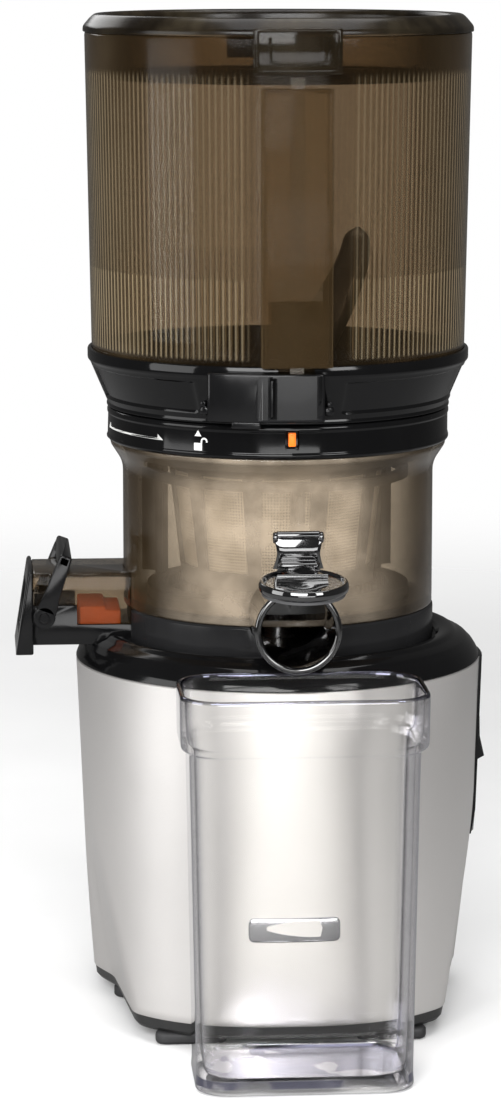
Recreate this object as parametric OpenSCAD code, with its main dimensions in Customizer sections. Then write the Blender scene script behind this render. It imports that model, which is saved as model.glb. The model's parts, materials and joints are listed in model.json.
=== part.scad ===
// Slow juicer: a motor base, a juicing bowl with an auger inside, a wide hopper with a
// hinged lid, and a clear jug that stands under the spout.
// Millimetres, +Z up. The feet and the jug stand on z = 0, and the origin is under the
// middle of the whole outline. The auger's drive axis is upright at (axis_x, axis_y).

/* [Reach] */
// Drive axis to the outer edge of the pulp outlet's end plate
left_reach = 121; // [119:1:124]
// Drive axis to the outermost point of the switch
right_reach = 96; // [96:0.5:97]
// Drive axis to the front of the jug
front_reach = 163; // [162:1:166]
// Drive axis to the rear end of the cord gland
back_reach = 99; // [99:1:104]

/* [Base] */
// Radius of the base shell at its top edge
base_r_top = 93; // [92.5:0.1:93.5]
// Radius of the base shell at its bottom edge
base_r_low = 87; // [86:0.1:88]
// Distance that the bottom edge sits forward of the top edge
base_lean = 9; // [7:0.5:10]
// Height of the shell's top edge
base_top_z = 162; // [161:0.5:163]
// Height of the shell's bottom edge
base_low_z = 11; // [10:0.5:12]
// Wall of the base shell
shell_wall = 2.5; // [2:0.1:3]
// Height of the feet
foot_h = 5; // [4:0.5:6]

/* [Drive] */
// Module of the gearbox's teeth
gear_module = 1.25; // [1.2:0.01:1.25]
// Teeth of the two small gears
small_teeth = 12; // [12]
// Teeth of the two large gears
large_teeth = 48; // [48]
// Thickness of each gear
gear_h = 10; // [9:0.5:10]

/* [Bowl] */
// Outer radius of the bowl
bowl_r = 71; // [70.5:0.1:71.5]
// Wall of the bowl
bowl_wall = 2.5; // [2.2:0.1:2.8]
// Height of the bowl floor's underside
bowl_low_z = 187; // [187]
// Outer radius of the locking ring
ring_r = 78; // [77.5:0.1:78.5]
// Height of the locking ring's top
ring_top_z = 278; // [278]

/* [Spout] */
// Outer radius of the juice spout
spout_r = 19; // [18:0.5:19.5]
// Height of the spout's centre line
spout_z = 193; // [192.5:0.5:193.5]
// Distance of the spout's mouth from the drive axis
spout_reach = 112; // [108:1:114]
// Angle that the cap is held open by
cap_open = 84; // [78:1:88]

/* [Pulp outlet] */
// Width of the pulp duct
duct_w = 40; // [38:1:42]
// Height of the duct's underside
duct_low_z = 171; // [171]
// Height of the duct's top
duct_top_z = 204; // [203:0.5:205]

/* [Hopper] */
// Outer radius of the hopper at its rim
hopper_r_top = 87.3; // [87:0.1:87.5]
// Outer radius of the hopper where it leaves its base
hopper_r_low = 84.9; // [84.6:0.1:85]
// Height of the hopper's rim
rim_z = 447; // [447]
// Wall of the hopper
hopper_wall = 2.4; // [2:0.1:2.8]
// Width of the rod channel on the hopper's front
channel_w = 31; // [29:1:33]

/* [Lid] */
// Height of the closed lid's top
lid_top_z = 455; // [454:0.5:457]
// Height of the lid dish's underside
dish_z = 426; // [424:1:430]

/* [Jug] */
// Width of the jug at its rim
jug_w = 107.5; // [105:0.5:109]
// Depth of the jug at its rim
jug_d = 64; // [62:0.5:64]
// Height of the jug
jug_h = 173; // [172:0.5:174]
// Wall of the jug
jug_wall = 2.6; // [2.4:0.1:3]

/* [Hidden] */
$fn = 96;
axis_x = (left_reach - right_reach) / 2;
axis_y = (front_reach - back_reach) / 2;

eps = 0.01;
fit = 0.05;             // radial clearance of a pin or shaft that turns in its hole
gap = 0.5;              // clearance between pieces that pass each other
seat_z = 170;           // face of the top cover that the bowl's foot stands on
foot_ring_r = 71.5;
floor_z = bowl_low_z + 3;
bowl_chamfer_z = 253;
flare_z = 263;
bowl_in_r = bowl_r - bowl_wall;
base_h = base_top_z - base_low_z;

facet_tilt = 9.5;       // lean of the scooped facet on each side of the base
facet_az = 186;         // direction that the left facet faces
facet_dist = 77.4;      // drive axis to the facet at the shell's bottom edge
facet_end_az = 203;     // the same two for the facet's rear end
facet_end_dist = 74;

centre_d = gear_module * (small_teeth + large_teeth) / 2;
pinion_z = 98;
output_z = pinion_z + gear_h + 2;
gearbox_low_z = 93;
gearbox_top_z = output_z + gear_h + 2;
gearbox_r = gear_module * large_teeth / 2 + 4;

sun_teeth = 24;
planet_teeth = 40;
ring_teeth = 104;
planet_d = (sun_teeth + planet_teeth) / 2;
gears_z = floor_z + 1;
brush_bars = [-86, 34, 154];

cap_axis_y = -spout_reach;
cap_axis_z = spout_z + spout_r + 4;
cap_drop = 23;
cap_lever = 18;         // length of the tab that the cap is pushed open by

bail_x = -108;
bail_z = 185;

hopper_low_z = 301;
lip_z = 305;
cone_top_z = 300;
cone_low_z = 280;
block_turn = -8;        // the front block sits this far round from the spout

hinge_y = 94;
hinge_z = 446;
hinge_r = 4.5;

switch_x = 82;
switch_z = 121;
switch_on = -7;         // tilt of the rocker when it is on

// ---------- shared forms ----------

module on_axis() {
    translate([axis_x, axis_y, 0]) children();
}

// A solid of revolution about the drive axis, from [radius, height] points.
module turned(points) {
    rotate_extrude($fn = 180) polygon(points);
}

// A plain ring about the drive axis.
module ring(r_out, r_in, z, h) {
    translate([0, 0, z]) difference() {
        cylinder(h = h, r = r_out, $fn = 180);
        translate([0, 0, -1]) cylinder(h = h + 2, r = r_in, $fn = 180);
    }
}

// A box given by its low and high corners.
module span(low, high) {
    translate(low) cube(high - low);
}

// A cylinder along +X, centred on x = 0.
module across(y, z, r, len) {
    translate([-len / 2, y, z]) rotate([0, 90, 0]) cylinder(h = len, r = r);
}

// A cylinder along +Y, centred on y = 0.
module along(x, z, r, len) {
    translate([x, len / 2, z]) rotate([90, 0, 0]) cylinder(h = len, r = r);
}

// A rounded rectangle standing on its centre.
module rounded_plan(w, d, r) {
    hull() for (sx = [-1, 1], sy = [-1, 1])
        translate([sx * (w / 2 - r), sy * (d / 2 - r)]) circle(r, $fn = 32);
}

// Outline of a spur gear: four points a tooth, with a tooth on +X.
function gear_outline(teeth, mod, tip, root) = [
    for (i = [0:teeth - 1], p = [[-0.28, root], [-0.12, tip], [0.12, tip], [0.28, root]])
        let (a = 360 * (i + p[0]) / teeth, r = mod * teeth / 2 + mod * p[1])
        [r * cos(a), r * sin(a)]
];

module spur(teeth, mod, h, turn = 0) {
    rotate([0, 0, turn]) linear_extrude(height = h)
        polygon(gear_outline(teeth, mod, 0.85, -1.2));
}

// ---------- base ----------

// A thin round slice of the base's leaning body.
module base_slice(z, inset) {
    t = (z - base_low_z) / base_h;
    translate([0, -base_lean * (1 - t), z])
        cylinder(h = eps, r = base_r_low + t * (base_r_top - base_r_low) - inset);
}

// Everything beyond a leaning plane that faces the given direction.
module beyond(az, dist) {
    rotate([0, 0, az]) translate([dist, 0, base_low_z]) rotate([0, facet_tilt, 0])
        translate([0, -150, -60]) cube([100, 300, 300]);
}

// The base's tapered body with a scooped facet on each side, shrunk by inset.
module base_form(inset, low, high) {
    difference() {
        hull() {
            base_slice(low, inset);
            base_slice(high - eps, inset);
        }
        for (side = [0, 1]) mirror([side, 0, 0]) intersection() {
            beyond(facet_az, facet_dist - inset);
            beyond(facet_end_az, facet_end_dist - inset);
        }
    }
}

module base_shell() {
    color("silver") on_axis() difference() {
        base_form(0, base_low_z, base_top_z);
        difference() {
            base_form(shell_wall, base_low_z - 1, base_top_z + 1);
            for (a = [45:90:315]) rotate([0, 0, a])
                span([61, -5, base_low_z - 2], [100, 5, 36]);
        }
        for (a = [45:90:315]) rotate([0, 0, a]) translate([66, 0, base_low_z - 1])
            cylinder(h = 15, r = 2);
        span([70, -8, switch_z - 14.5], [120, 8, switch_z + 14.5]);
        translate([20, 0, 40]) rotate([-90, 0, 0]) cylinder(h = 120, r = 6);
    }
}

module top_cover() {
    color("black") on_axis() difference() {
        turned([
            [8, seat_z - 3], [84, seat_z - 12], [base_r_top - shell_wall - 1, base_top_z - 6],
            [base_r_top - shell_wall - 1, base_top_z], [base_r_top, base_top_z],
            [base_r_top, base_top_z + 1.5], [91.5, base_top_z + 5], [88, base_top_z + 8.4],
            [83, base_top_z + 11], [81, base_top_z + 13], [78, base_top_z + 13],
            [73, base_top_z + 10], [73, seat_z], [8, seat_z]
        ]);
        translate([0, -60, spout_z]) rotate([90, 0, 0]) cylinder(h = 60, r = spout_r + gap);
        span([-140, -duct_w / 2 - gap, duct_low_z - gap], [-60, duct_w / 2 + gap, 190]);
    }
}

module bottom_plate() {
    color("black") on_axis() difference() {
        base_form(0.5, foot_h, base_low_z);
        for (i = [-3:3]) span([i * 9 - 2, -26, 0], [i * 9 + 2, 26, 20]);
        for (a = [45:90:315]) rotate([0, 0, a]) translate([66, 0, 0]) {
            cylinder(h = 30, r = 2);
            cylinder(h = foot_h + 1.5, r = 3.5);
        }
    }
}

// Two wide feet at the front and two at the back.
module feet() {
    h = foot_h;
    color("black") on_axis() for (sx = [-1, 1]) {
        span([min(sx * 30, sx * 56), -82, 0], [max(sx * 30, sx * 56), -72, h]);
        translate([sx * 56, -77, 0]) difference() {
            cylinder(h = h, r = 5);
            span([min(0, -sx * 9), -9, -1], [max(0, -sx * 9), 9, h + 1]);
        }
        translate([sx * 71, -1, 0]) cylinder(h = h, r = 5.5);
        translate([sx * 48, 50, 0]) cylinder(h = h, r = 8);
    }
}

module base_screws() {
    color("gray") on_axis() for (a = [45:90:315]) rotate([0, 0, a]) translate([66, 0, foot_h]) {
        cylinder(h = 12, r = 2);
        cylinder(h = 1.5, r = 3.5);
    }
}

module badge_plate() {
    color("silver") on_axis() difference() {
        span([-20, -96.2, 50], [20, -85, 61]);
        base_form(0, base_low_z, base_top_z);
    }
}

module switch_bezel() {
    color("black") on_axis() difference() {
        intersection() {
            base_form(-1.5, 78, base_top_z);
            span([60, -15, 78], [110, 15, base_top_z]);
        }
        base_form(0, base_low_z, base_top_z + 1);
        span([70, -8, switch_z - 14.5], [120, 8, switch_z + 14.5]);
    }
}

module switch_housing() {
    color("dimgray") on_axis() difference() {
        span([74, -9.5, switch_z - 16], [86, 9.5, switch_z + 16]);
        span([76, -7.5, switch_z - 14], [87, 7.5, switch_z + 14]);
        along(switch_x, switch_z, 1.5 + fit, 40);
    }
}

module rocker_switch() {
    tip = right_reach - switch_x - 1.1;
    color("black") on_axis() translate([switch_x, 0, switch_z]) rotate([0, switch_on, 0]) {
        translate([0, 7, 0]) rotate([90, 0, 0]) linear_extrude(height = 14) polygon([
            [-3, -5], [-3, 5], [9, 11], [tip, 9.5], [tip - 1, 0], [tip, -9.5], [9, -11]
        ]);
        along(0, 0, 1.5, 18);
    }
}

module cord_gland() {
    color("black") on_axis() translate([20, 0, 40]) rotate([-90, 0, 0]) difference() {
        union() {
            translate([0, 0, 80.3]) cylinder(h = 2.7, r = 8);
            translate([0, 0, 68]) cylinder(h = back_reach - 68, r = 5.9);
        }
        translate([0, 0, 60]) cylinder(h = 60, r = 3);
    }
}

module control_board() {
    color("darkgreen") on_axis() {
        span([-28, -66, base_low_z], [28, -64.4, 62]);
        span([-20, -64.4, 24], [-4, -54, 40]);
        span([6, -64.4, 24], [20, -56, 50]);
    }
}

// ---------- motor and gearbox ----------

module motor_mounts() {
    color("black") on_axis() for (a = [0:90:270]) rotate([0, 0, a + 45])
        translate([36, 0, base_low_z]) cylinder(h = 7, r = 6);
}

module motor_end_caps() {
    color("gray") on_axis() for (z = [18, 86]) difference() {
        translate([0, 0, z]) cylinder(h = 7, r = 44);
        translate([0, 0, z - 1]) cylinder(h = 9, r = 11);
    }
}

module motor_stator() {
    color("darkgray") on_axis() ring(43, 30, 25, 61);
}

module motor_rotor() {
    color("dimgray") on_axis() {
        translate([0, 0, 34]) cylinder(h = 42, r = 28);
        translate([0, 0, 14]) cylinder(h = pinion_z + gear_h - 14, r = 4);
    }
}

module motor_bearings() {
    color("lightgray") on_axis() for (z = [18, 86]) ring(11, 4 + fit, z, 7);
}

module cooling_fan() {
    color("black") on_axis() {
        ring(9, 4, 27, 5);
        for (a = [0:45:315]) rotate([0, 0, a]) span([8, -0.8, 27], [25, 0.8, 32]);
    }
}

module motor_pinion() {
    color("gold") on_axis() difference() {
        translate([0, 0, pinion_z]) spur(small_teeth, gear_module, gear_h);
        translate([0, 0, pinion_z - 1]) cylinder(h = gear_h + 2, r = 4);
    }
}

// Plan of the gearbox: one circle round the drive axis and one round the idler.
module gearbox_plan(r, z, h) {
    translate([0, 0, z]) {
        cylinder(h = h, r = r);
        translate([0, centre_d, 0]) cylinder(h = h, r = r);
        translate([-r, 0, 0]) cube([2 * r, centre_d, h]);
    }
}

module gearbox_case() {
    color("gray") on_axis() difference() {
        gearbox_plan(gearbox_r, gearbox_low_z, gearbox_top_z - gearbox_low_z);
        gearbox_plan(gearbox_r - 2.5, gearbox_low_z + 3, gearbox_top_z);
        translate([0, 0, gearbox_low_z - 1]) cylinder(h = 6, r = 6);
        translate([0, centre_d, gearbox_low_z - 1]) cylinder(h = 6, r = 3);
    }
}

module gearbox_lid() {
    color("gray") on_axis() difference() {
        union() {
            gearbox_plan(gearbox_r, gearbox_top_z, 3);
            translate([0, 0, gearbox_top_z]) cylinder(h = 12, r = 19);
        }
        translate([0, 0, gearbox_top_z - 1]) cylinder(h = 14, r = 15);
        translate([0, centre_d, gearbox_top_z - 1]) cylinder(h = 6, r = 3);
    }
}

module idler_gear() {
    color("gold") on_axis() translate([0, centre_d, 0]) difference() {
        union() {
            translate([0, 0, pinion_z])
                spur(large_teeth, gear_module, gear_h, 180 / large_teeth);
            translate([0, 0, pinion_z + gear_h]) spur(small_teeth, gear_module, gear_h + 2);
        }
        translate([0, 0, pinion_z - 1]) cylinder(h = 2 * gear_h + 6, r = 3 + fit);
    }
}

module idler_pin() {
    color("lightgray") on_axis() translate([0, centre_d, gearbox_low_z])
        cylinder(h = gearbox_top_z + 3 - gearbox_low_z, r = 3);
}

module output_gear() {
    color("gold") on_axis() difference() {
        translate([0, 0, output_z]) spur(large_teeth, gear_module, gear_h, 180 / large_teeth);
        translate([0, 0, output_z - 1]) cylinder(h = gear_h + 2, r = 6);
    }
}

module output_shaft() {
    color("lightgray") on_axis() {
        translate([0, 0, output_z]) cylinder(h = floor_z - output_z, r = 6);
        translate([0, 0, floor_z]) cylinder(h = 22, r = 6.4, $fn = 6);
    }
}

module output_bearing() {
    color("lightgray") on_axis() ring(15, 6 + fit, gearbox_top_z, 12);
}

module drive_seal() {
    color("black") on_axis() ring(8, 6 + fit, seat_z - 3, 3);
}

// ---------- bowl ----------

// The round passage from the bowl into the spout, above the bowl's floor.
module spout_passage() {
    intersection() {
        translate([0, -40, spout_z]) rotate([90, 0, 0])
            cylinder(h = 40, r = spout_r - 3);
        span([-30, -90, floor_z], [30, 0, 230]);
    }
}

module bowl() {
    color([0.35, 0.29, 0.22, 0.6]) on_axis() difference() {
        turned([
            [10, bowl_low_z], [bowl_r, bowl_low_z], [bowl_r, bowl_chamfer_z],
            [77, flare_z - 1], [77, flare_z], [74, flare_z], [bowl_in_r, bowl_chamfer_z + 2],
            [bowl_in_r, floor_z], [10, floor_z]
        ]);
        spout_passage();
        span([-90, -14, floor_z], [-60, 14, duct_top_z - 3]);
        translate([0, planet_d, bowl_low_z - 1]) cylinder(h = 6, r = 3);
    }
}

module bowl_foot_ring() {
    color([0.13, 0.13, 0.14]) on_axis() difference() {
        turned([
            [62, seat_z], [foot_ring_r, seat_z], [foot_ring_r, bowl_low_z - 1],
            [foot_ring_r - 0.8, bowl_low_z], [62, bowl_low_z]
        ]);
        translate([0, -50, spout_z]) rotate([90, 0, 0]) cylinder(h = 40, r = spout_r);
        span([-90, -duct_w / 2, duct_low_z], [-50, duct_w / 2, 190]);
    }
}

module locking_ring() {
    color("black") on_axis() difference() {
        turned([
            [72.2, flare_z], [ring_r - 0.8, flare_z], [ring_r, flare_z + 0.8],
            [ring_r, ring_top_z - 0.8], [ring_r - 0.8, ring_top_z], [72.2, ring_top_z]
        ]);
        span([-3, -80, 268], [3, -74, 276]);
    }
}

module bowl_seal() {
    color("black") on_axis() ring(10, 6.4 + 0.2, bowl_low_z - 4, 7);
}

module juice_spout() {
    color("black") on_axis() difference() {
        union() {
            translate([0, -66, spout_z]) rotate([90, 0, 0])
                cylinder(h = spout_reach - 66, r = spout_r);
            for (sx = [-1, 1]) spout_ear(sx * 7.25);
        }
        spout_passage();
        translate([0, -bowl_r - 3, spout_z]) rotate([90, 0, 0])
            cylinder(h = spout_reach, r = spout_r - 3);
        translate([0, 0, bowl_low_z]) cylinder(h = 60, r = bowl_r, $fn = 180);
        translate([0, 0, seat_z]) cylinder(h = bowl_low_z - seat_z, r = bowl_r - 4);
        across(cap_axis_y, cap_axis_z, 1.5, 40);
    }
}

// One of the spout's two ears, which hold the cap's pin.
module spout_ear(x) {
    translate([x, 0, 0]) {
        across(cap_axis_y, cap_axis_z, 3.2, 3.5);
        span([-1.75, cap_axis_y, spout_z + spout_r - 4], [1.75, cap_axis_y + 12, cap_axis_z - 2]);
        span([-1.75, cap_axis_y, cap_axis_z - 3.2], [1.75, cap_axis_y + 6, cap_axis_z + 1]);
    }
}

// Turns what is drawn in the cap's closed place to where the cap is held open.
module cap_held_open() {
    translate([0, cap_axis_y, cap_axis_z]) rotate([-cap_open, 0, 0])
        translate([0, -cap_axis_y, -cap_axis_z]) children();
}

module juice_cap() {
    color("black") on_axis() cap_held_open() difference() {
        union() {
            translate([0, cap_axis_y - 1.5, cap_axis_z - cap_drop]) rotate([90, 0, 0])
                cylinder(h = 4, r = spout_r);
            span([-5, cap_axis_y - 5.5, cap_axis_z - 8], [5, cap_axis_y - 1.5, cap_axis_z]);
            across(cap_axis_y, cap_axis_z, 3, 10);
            span([-5, cap_axis_y - 5.5, cap_axis_z - 3], [5, cap_axis_y, cap_axis_z + 3]);
            span([-11, cap_axis_y - cap_lever, cap_axis_z + 3.4],
                [11, cap_axis_y - 4, cap_axis_z + 6]);
            span([-8, cap_axis_y - 9, cap_axis_z - 6], [8, cap_axis_y - 5, cap_axis_z + 4]);
            across(cap_axis_y - cap_lever, cap_axis_z + 5, 2, 22);
        }
        across(cap_axis_y, cap_axis_z, 1.5 + fit, 40);
    }
}

module cap_seal() {
    color("dimgray") on_axis() cap_held_open()
        translate([0, cap_axis_y - 0.3, cap_axis_z - cap_drop]) rotate([90, 0, 0])
            cylinder(h = 1.2, r = spout_r - 1);
}

module cap_pin() {
    color("lightgray") on_axis() across(cap_axis_y, cap_axis_z, 1.5, 18);
}

// ---------- pulp outlet ----------

// The duct's hollow box between two heights.
module duct_box(low, high) {
    difference() {
        span([-left_reach + 8, -duct_w / 2, low], [-66, duct_w / 2, high]);
        span([-140, -duct_w / 2 + 2.5, duct_low_z + 2.5],
            [-60, duct_w / 2 - 2.5, duct_top_z - 2.5]);
        translate([0, 0, bowl_low_z - 30]) cylinder(h = 80, r = bowl_r, $fn = 180);
    }
}

// Notches in the duct's two sides, which its clear cover reaches down into.
module duct_windows() {
    for (sy = [-1, 1]) span([-93, sy * 19 - 3, 180], [-60, sy * 19 + 3, 190]);
}

module pulp_duct() {
    color("black") on_axis() difference() {
        duct_box(duct_low_z, 189);
        duct_windows();
        along(bail_x, bail_z, 2, 80);
    }
}

module pulp_duct_cover() {
    color([0.3, 0.25, 0.2, 0.6]) on_axis() {
        duct_box(189, duct_top_z);
        intersection() {
            duct_box(180, 189);
            duct_windows();
        }
    }
}

module pulp_end_plate() {
    color("black") on_axis() difference() {
        translate([0, 24, 0]) rotate([90, 0, 0]) linear_extrude(height = 48) polygon([
            [-left_reach + 8, duct_top_z + 1], [-left_reach + 8, 167], [-left_reach, 167],
            [-left_reach + 6, duct_top_z + 1]
        ]);
        span([-140, -14, 176], [-60, 14, 197]);
    }
}

module pulp_lever_pins() {
    color("lightgray") on_axis() for (sy = [-1, 1])
        translate([bail_x, sy * 17.5, bail_z]) rotate([-sy * 90, 0, 0]) cylinder(h = 12, r = 2);
}

module pulp_lever() {
    color("black") on_axis() translate([bail_x, 0, bail_z]) rotate([0, 20, 0]) difference() {
        union() for (sy = [-1, 1]) {
            span([-3, sy * 26.5 - 1.5, 0], [3, sy * 26.5 + 1.5, 30]);
            translate([0, sy * 26.5 + 1.5, 0]) rotate([90, 0, 0]) cylinder(h = 3, r = 5);
            span([-3, -28, 25], [3, 28, 30]);
        }
        along(0, 0, 2 + fit, 80);
    }
}

module pulp_plug() {
    color("orangered") on_axis() {
        span([-92, -17, duct_low_z + 2.5], [-80, 17, 188]);
        span([-80, -17, duct_low_z + 2.5], [-73, 17, 186]);
    }
}

// ---------- strainer, brush and auger ----------

strainer_low_r = 44;
strainer_top_r = 51;
strainer_low_z = 198;
strainer_top_z = 261;

// The strainer's cone, as a solid, with its radius grown by the given amount.
module strainer_cone(grow, low, high) {
    slope = (strainer_top_r - strainer_low_r) / (strainer_top_z - strainer_low_z);
    translate([0, 0, low]) cylinder(
        h = high - low,
        r1 = strainer_low_r + grow + slope * (low - strainer_low_z),
        r2 = strainer_low_r + grow + slope * (high - strainer_low_z),
        $fn = 180);
}

module strainer_frame() {
    color("dimgray") on_axis() difference() {
        union() {
            strainer_cone(0, strainer_low_z, strainer_top_z);
            translate([0, 0, 256]) cylinder(h = 3, r = bowl_in_r - 0.1, $fn = 180);
        }
        strainer_cone(-2, strainer_low_z + 2.5, strainer_top_z + 1);
        translate([0, 0, strainer_low_z - 1]) cylinder(h = 5, r = 12);
        for (a = [18:36:342]) rotate([0, 0, a]) span([20, -11, 206], [60, 11, 250]);
        for (a = [0:30:330]) rotate([0, 0, a]) translate([60, 0, 250]) cylinder(h = 15, r = 3);
    }
}

module strainer_mesh() {
    color("silver") on_axis() difference() {
        strainer_cone(-2, 204, 252);
        strainer_cone(-2.8, 203, 253);
    }
}

module brush_frame() {
    color("black") on_axis() {
        difference() {
            translate([0, 0, gears_z]) cylinder(h = 5, r = 60, $fn = 180);
            translate([0, 0, gears_z - 1]) rotate([0, 0, 180 / ring_teeth])
                linear_extrude(height = 7) polygon(gear_outline(ring_teeth, 1, 1.2, -0.85));
        }
        for (a = brush_bars) rotate([0, 0, a]) span([56, -3, gears_z + 5], [60, 3, 246]);
        ring(60, 56, 246, 4);
    }
}

module brush_wipers() {
    color("darkorange") on_axis() for (a = brush_bars) rotate([0, 0, a]) {
        span([60, -1, gears_z + 6], [67.5, 1, 245]);
    }
}

module brush_pinion() {
    color("white") on_axis() translate([0, planet_d, 0]) {
        translate([0, 0, gears_z]) spur(planet_teeth, 1, 5, 180 / planet_teeth);
        translate([0, 0, bowl_low_z]) cylinder(h = gears_z - bowl_low_z, r = 3 - fit);
    }
}

auger_turns = 2.25;
auger_low_z = 202;
auger_high_z = 258;

// One thin blade turned up the core, wider at the top than at the bottom.
module auger_flight() {
    translate([0, 0, auger_low_z]) linear_extrude(
        height = auger_high_z - auger_low_z, twist = -360 * auger_turns, slices = 54)
        translate([8, -2.5]) square([32, 5]);
}

module auger() {
    color([0.25, 0.25, 0.27]) on_axis() difference() {
        union() {
            translate([0, 0, gears_z]) spur(sun_teeth, 1, 5, 0);
            turned([
                [0, gears_z + 5], [10, gears_z + 5], [10, auger_low_z - 0.5],
                [38, auger_low_z - 0.5], [36, auger_low_z + 4], [17, auger_high_z],
                [14, 264], [0, 264]
            ]);
            auger_flight();
        }
        translate([0, 0, gears_z - 1]) cylinder(h = floor_z + 24 - gears_z, r = 6.8, $fn = 6);
    }
}

// Points along the wing's spine: [radius, direction, height, thickness].
wing_spine = [
    [5, 0, 276, 9], [14, 0, 300, 8], [26, 6, 325, 7], [36, 14, 343, 6], [41, 24, 355, 5]
];

module cutting_wing() {
    color([0.2, 0.2, 0.22]) on_axis() {
        translate([0, 0, 264]) cylinder(h = 8, r = 14);
        for (i = [0:3]) hull() for (p = [wing_spine[i], wing_spine[i + 1]])
            rotate([0, 0, p[1]]) translate([p[0], 0, p[2]]) sphere(p[3], $fn = 24);
    }
}

// ---------- hopper ----------

// The hopper's outer cone, as a solid, between two heights.
module hopper_cone(grow, low, high) {
    slope = (hopper_r_top - hopper_r_low) / (rim_z - lip_z);
    translate([0, 0, low]) cylinder(
        h = high - low,
        r1 = hopper_r_low + grow + slope * (low - lip_z),
        r2 = hopper_r_low + grow + slope * (high - lip_z),
        $fn = 180);
}

module hopper() {
    color([0.35, 0.29, 0.22, 0.5]) on_axis() difference() {
        hopper_cone(0, hopper_low_z, rim_z);
        hopper_cone(-hopper_wall, hopper_low_z - 1, rim_z + 1);
    }
}

module hopper_base() {
    color("black") on_axis() difference() {
        turned([
            [69.5, 267], [71.7, 267], [71.7, ring_top_z], [77.6, ring_top_z],
            [77.6, cone_low_z], [85.8, cone_top_z - 1], [86.6, cone_top_z], [86.6, lip_z],
            [hopper_r_low - 0.5, lip_z], [81, hopper_low_z], [50, 284], [50, 281.5],
            [69.5, 281.5]
        ]);
        hopper_cone(0, hopper_low_z, rim_z);
        span([-7, -90, 279], [9, -83, lip_z + 1]);
    }
}

module front_block() {
    color("black") on_axis() difference() {
        rotate([0, 0, block_turn]) intersection() {
            span([-24.5, -100, cone_low_z + 1], [24.5, -60, 303]);
            translate([0, 0, cone_low_z]) cylinder(h = 30, r = 93.5, $fn = 180);
        }
        turned([
            [0, 270], [77.6, 270], [77.6, cone_low_z], [85.8, cone_top_z - 1],
            [86.6, cone_top_z], [86.6, lip_z + 1], [0, lip_z + 1]
        ]);
        span([-7, -91.8, 288], [9, -83, 310]);
    }
}

module rod_channel() {
    color([0.3, 0.25, 0.2, 0.6]) on_axis() difference() {
        span([-channel_w / 2 + 1, -93.5, lip_z], [channel_w / 2 + 1, -60, 425]);
        hopper_cone(0, 280, rim_z);
        span([-channel_w / 2 + 3, -91.5, lip_z - 1], [channel_w / 2 - 1, -60, 423]);
        span([-3.5, -91.5, 420], [5.5, -60, 430]);
    }
}

module interlock_rod() {
    color("black") on_axis() {
        span([-2, -91, 343], [4, -88.5, 430]);
        span([-10, -91, 312], [12, -88, 343]);
        span([-2, -91, 296], [4, -88.5, 312]);
    }
}

module rod_spring() {
    color("lightgray") on_axis() translate([1, -89.4, 288]) difference() {
        cylinder(h = 8, r = 2);
        translate([0, 0, -1]) cylinder(h = 10, r = 1.2);
    }
}

module lock_indicator() {
    color("orangered") on_axis() span([-1.7, -78.4, 269], [1.7, -74, 275]);
}

// ---------- lid ----------

module lid() {
    color([0.2, 0.18, 0.16, 0.8]) on_axis() {
        turned([
            [0, dish_z], [78.5, dish_z], [80.5, rim_z], [88, rim_z], [88, rim_z + 2.5],
            [84.5, lid_top_z - 1.5], [82.5, lid_top_z], [80, lid_top_z],
            [78.5, lid_top_z - 1.5], [76.2, dish_z + 2.5], [0, dish_z + 2.5]
        ]);
        difference() {
            union() {
                across(hinge_y, hinge_z, hinge_r, 16);
                span([-8, 86, rim_z + 0.4], [8, hinge_y, hinge_z + hinge_r]);
            }
            across(hinge_y, hinge_z, 2 + fit, 30);
            translate([0, 0, rim_z - 10]) cylinder(h = 12.4, r = 87.9, $fn = 180);
        }
    }
}

module lid_tab() {
    color([0.15, 0.13, 0.12, 0.85]) on_axis() {
        intersection() {
            ring(94.5, 88, 431, 20);
            span([-17.5, -100, 431], [19.5, -60, 451]);
        }
    }
}

module lid_hinge_bracket() {
    color("black") on_axis() difference() {
        union() {
            for (sx = [-1, 1]) translate([sx * 12.5, 0, 0]) {
                across(hinge_y, hinge_z, hinge_r, 8);
                span([-4, hinge_y - hinge_r, 432], [4, hinge_y + hinge_r, hinge_z]);
            }
            span([-16.5, 80, 432], [16.5, hinge_y + hinge_r, 441]);
        }
        hopper_cone(0, 400, rim_z);
        across(hinge_y, hinge_z, 2, 60);
    }
}

module lid_hinge_pin() {
    color("lightgray") on_axis() across(hinge_y, hinge_z, 2, 33);
}

// ---------- jug ----------

// A slice of the jug's plan, with its back edge kept at the same distance in front.
module jug_slice(w, d, z, h, r) {
    translate([0, -front_reach + jug_d / 2, z]) linear_extrude(height = h) rounded_plan(w, d, r);
}

module jug() {
    color([0.9, 0.92, 0.97, 0.3]) on_axis() difference() {
        union() {
            hull() {
                jug_slice(95, 58, 0, 1, 14);
                jug_slice(100, 61, 150, 5, 16);
            }
            hull() {
                jug_slice(100, 61, 155, 0.5, 16);
                jug_slice(jug_w, jug_d, 158, jug_h - 158, 18);
            }
        }
        hull() {
            jug_slice(95 - 2 * jug_wall, 58 - 2 * jug_wall, 5, 1, 12);
            jug_slice(100 - 2 * jug_wall, 61 - 2 * jug_wall, 154, 1.5, 14);
        }
        hull() {
            jug_slice(100 - 2 * jug_wall, 61 - 2 * jug_wall, 155, 0.5, 14);
            jug_slice(jug_w - 2 * jug_wall, jug_d - 2 * jug_wall, 159, 30, 16);
        }
    }
}

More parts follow.
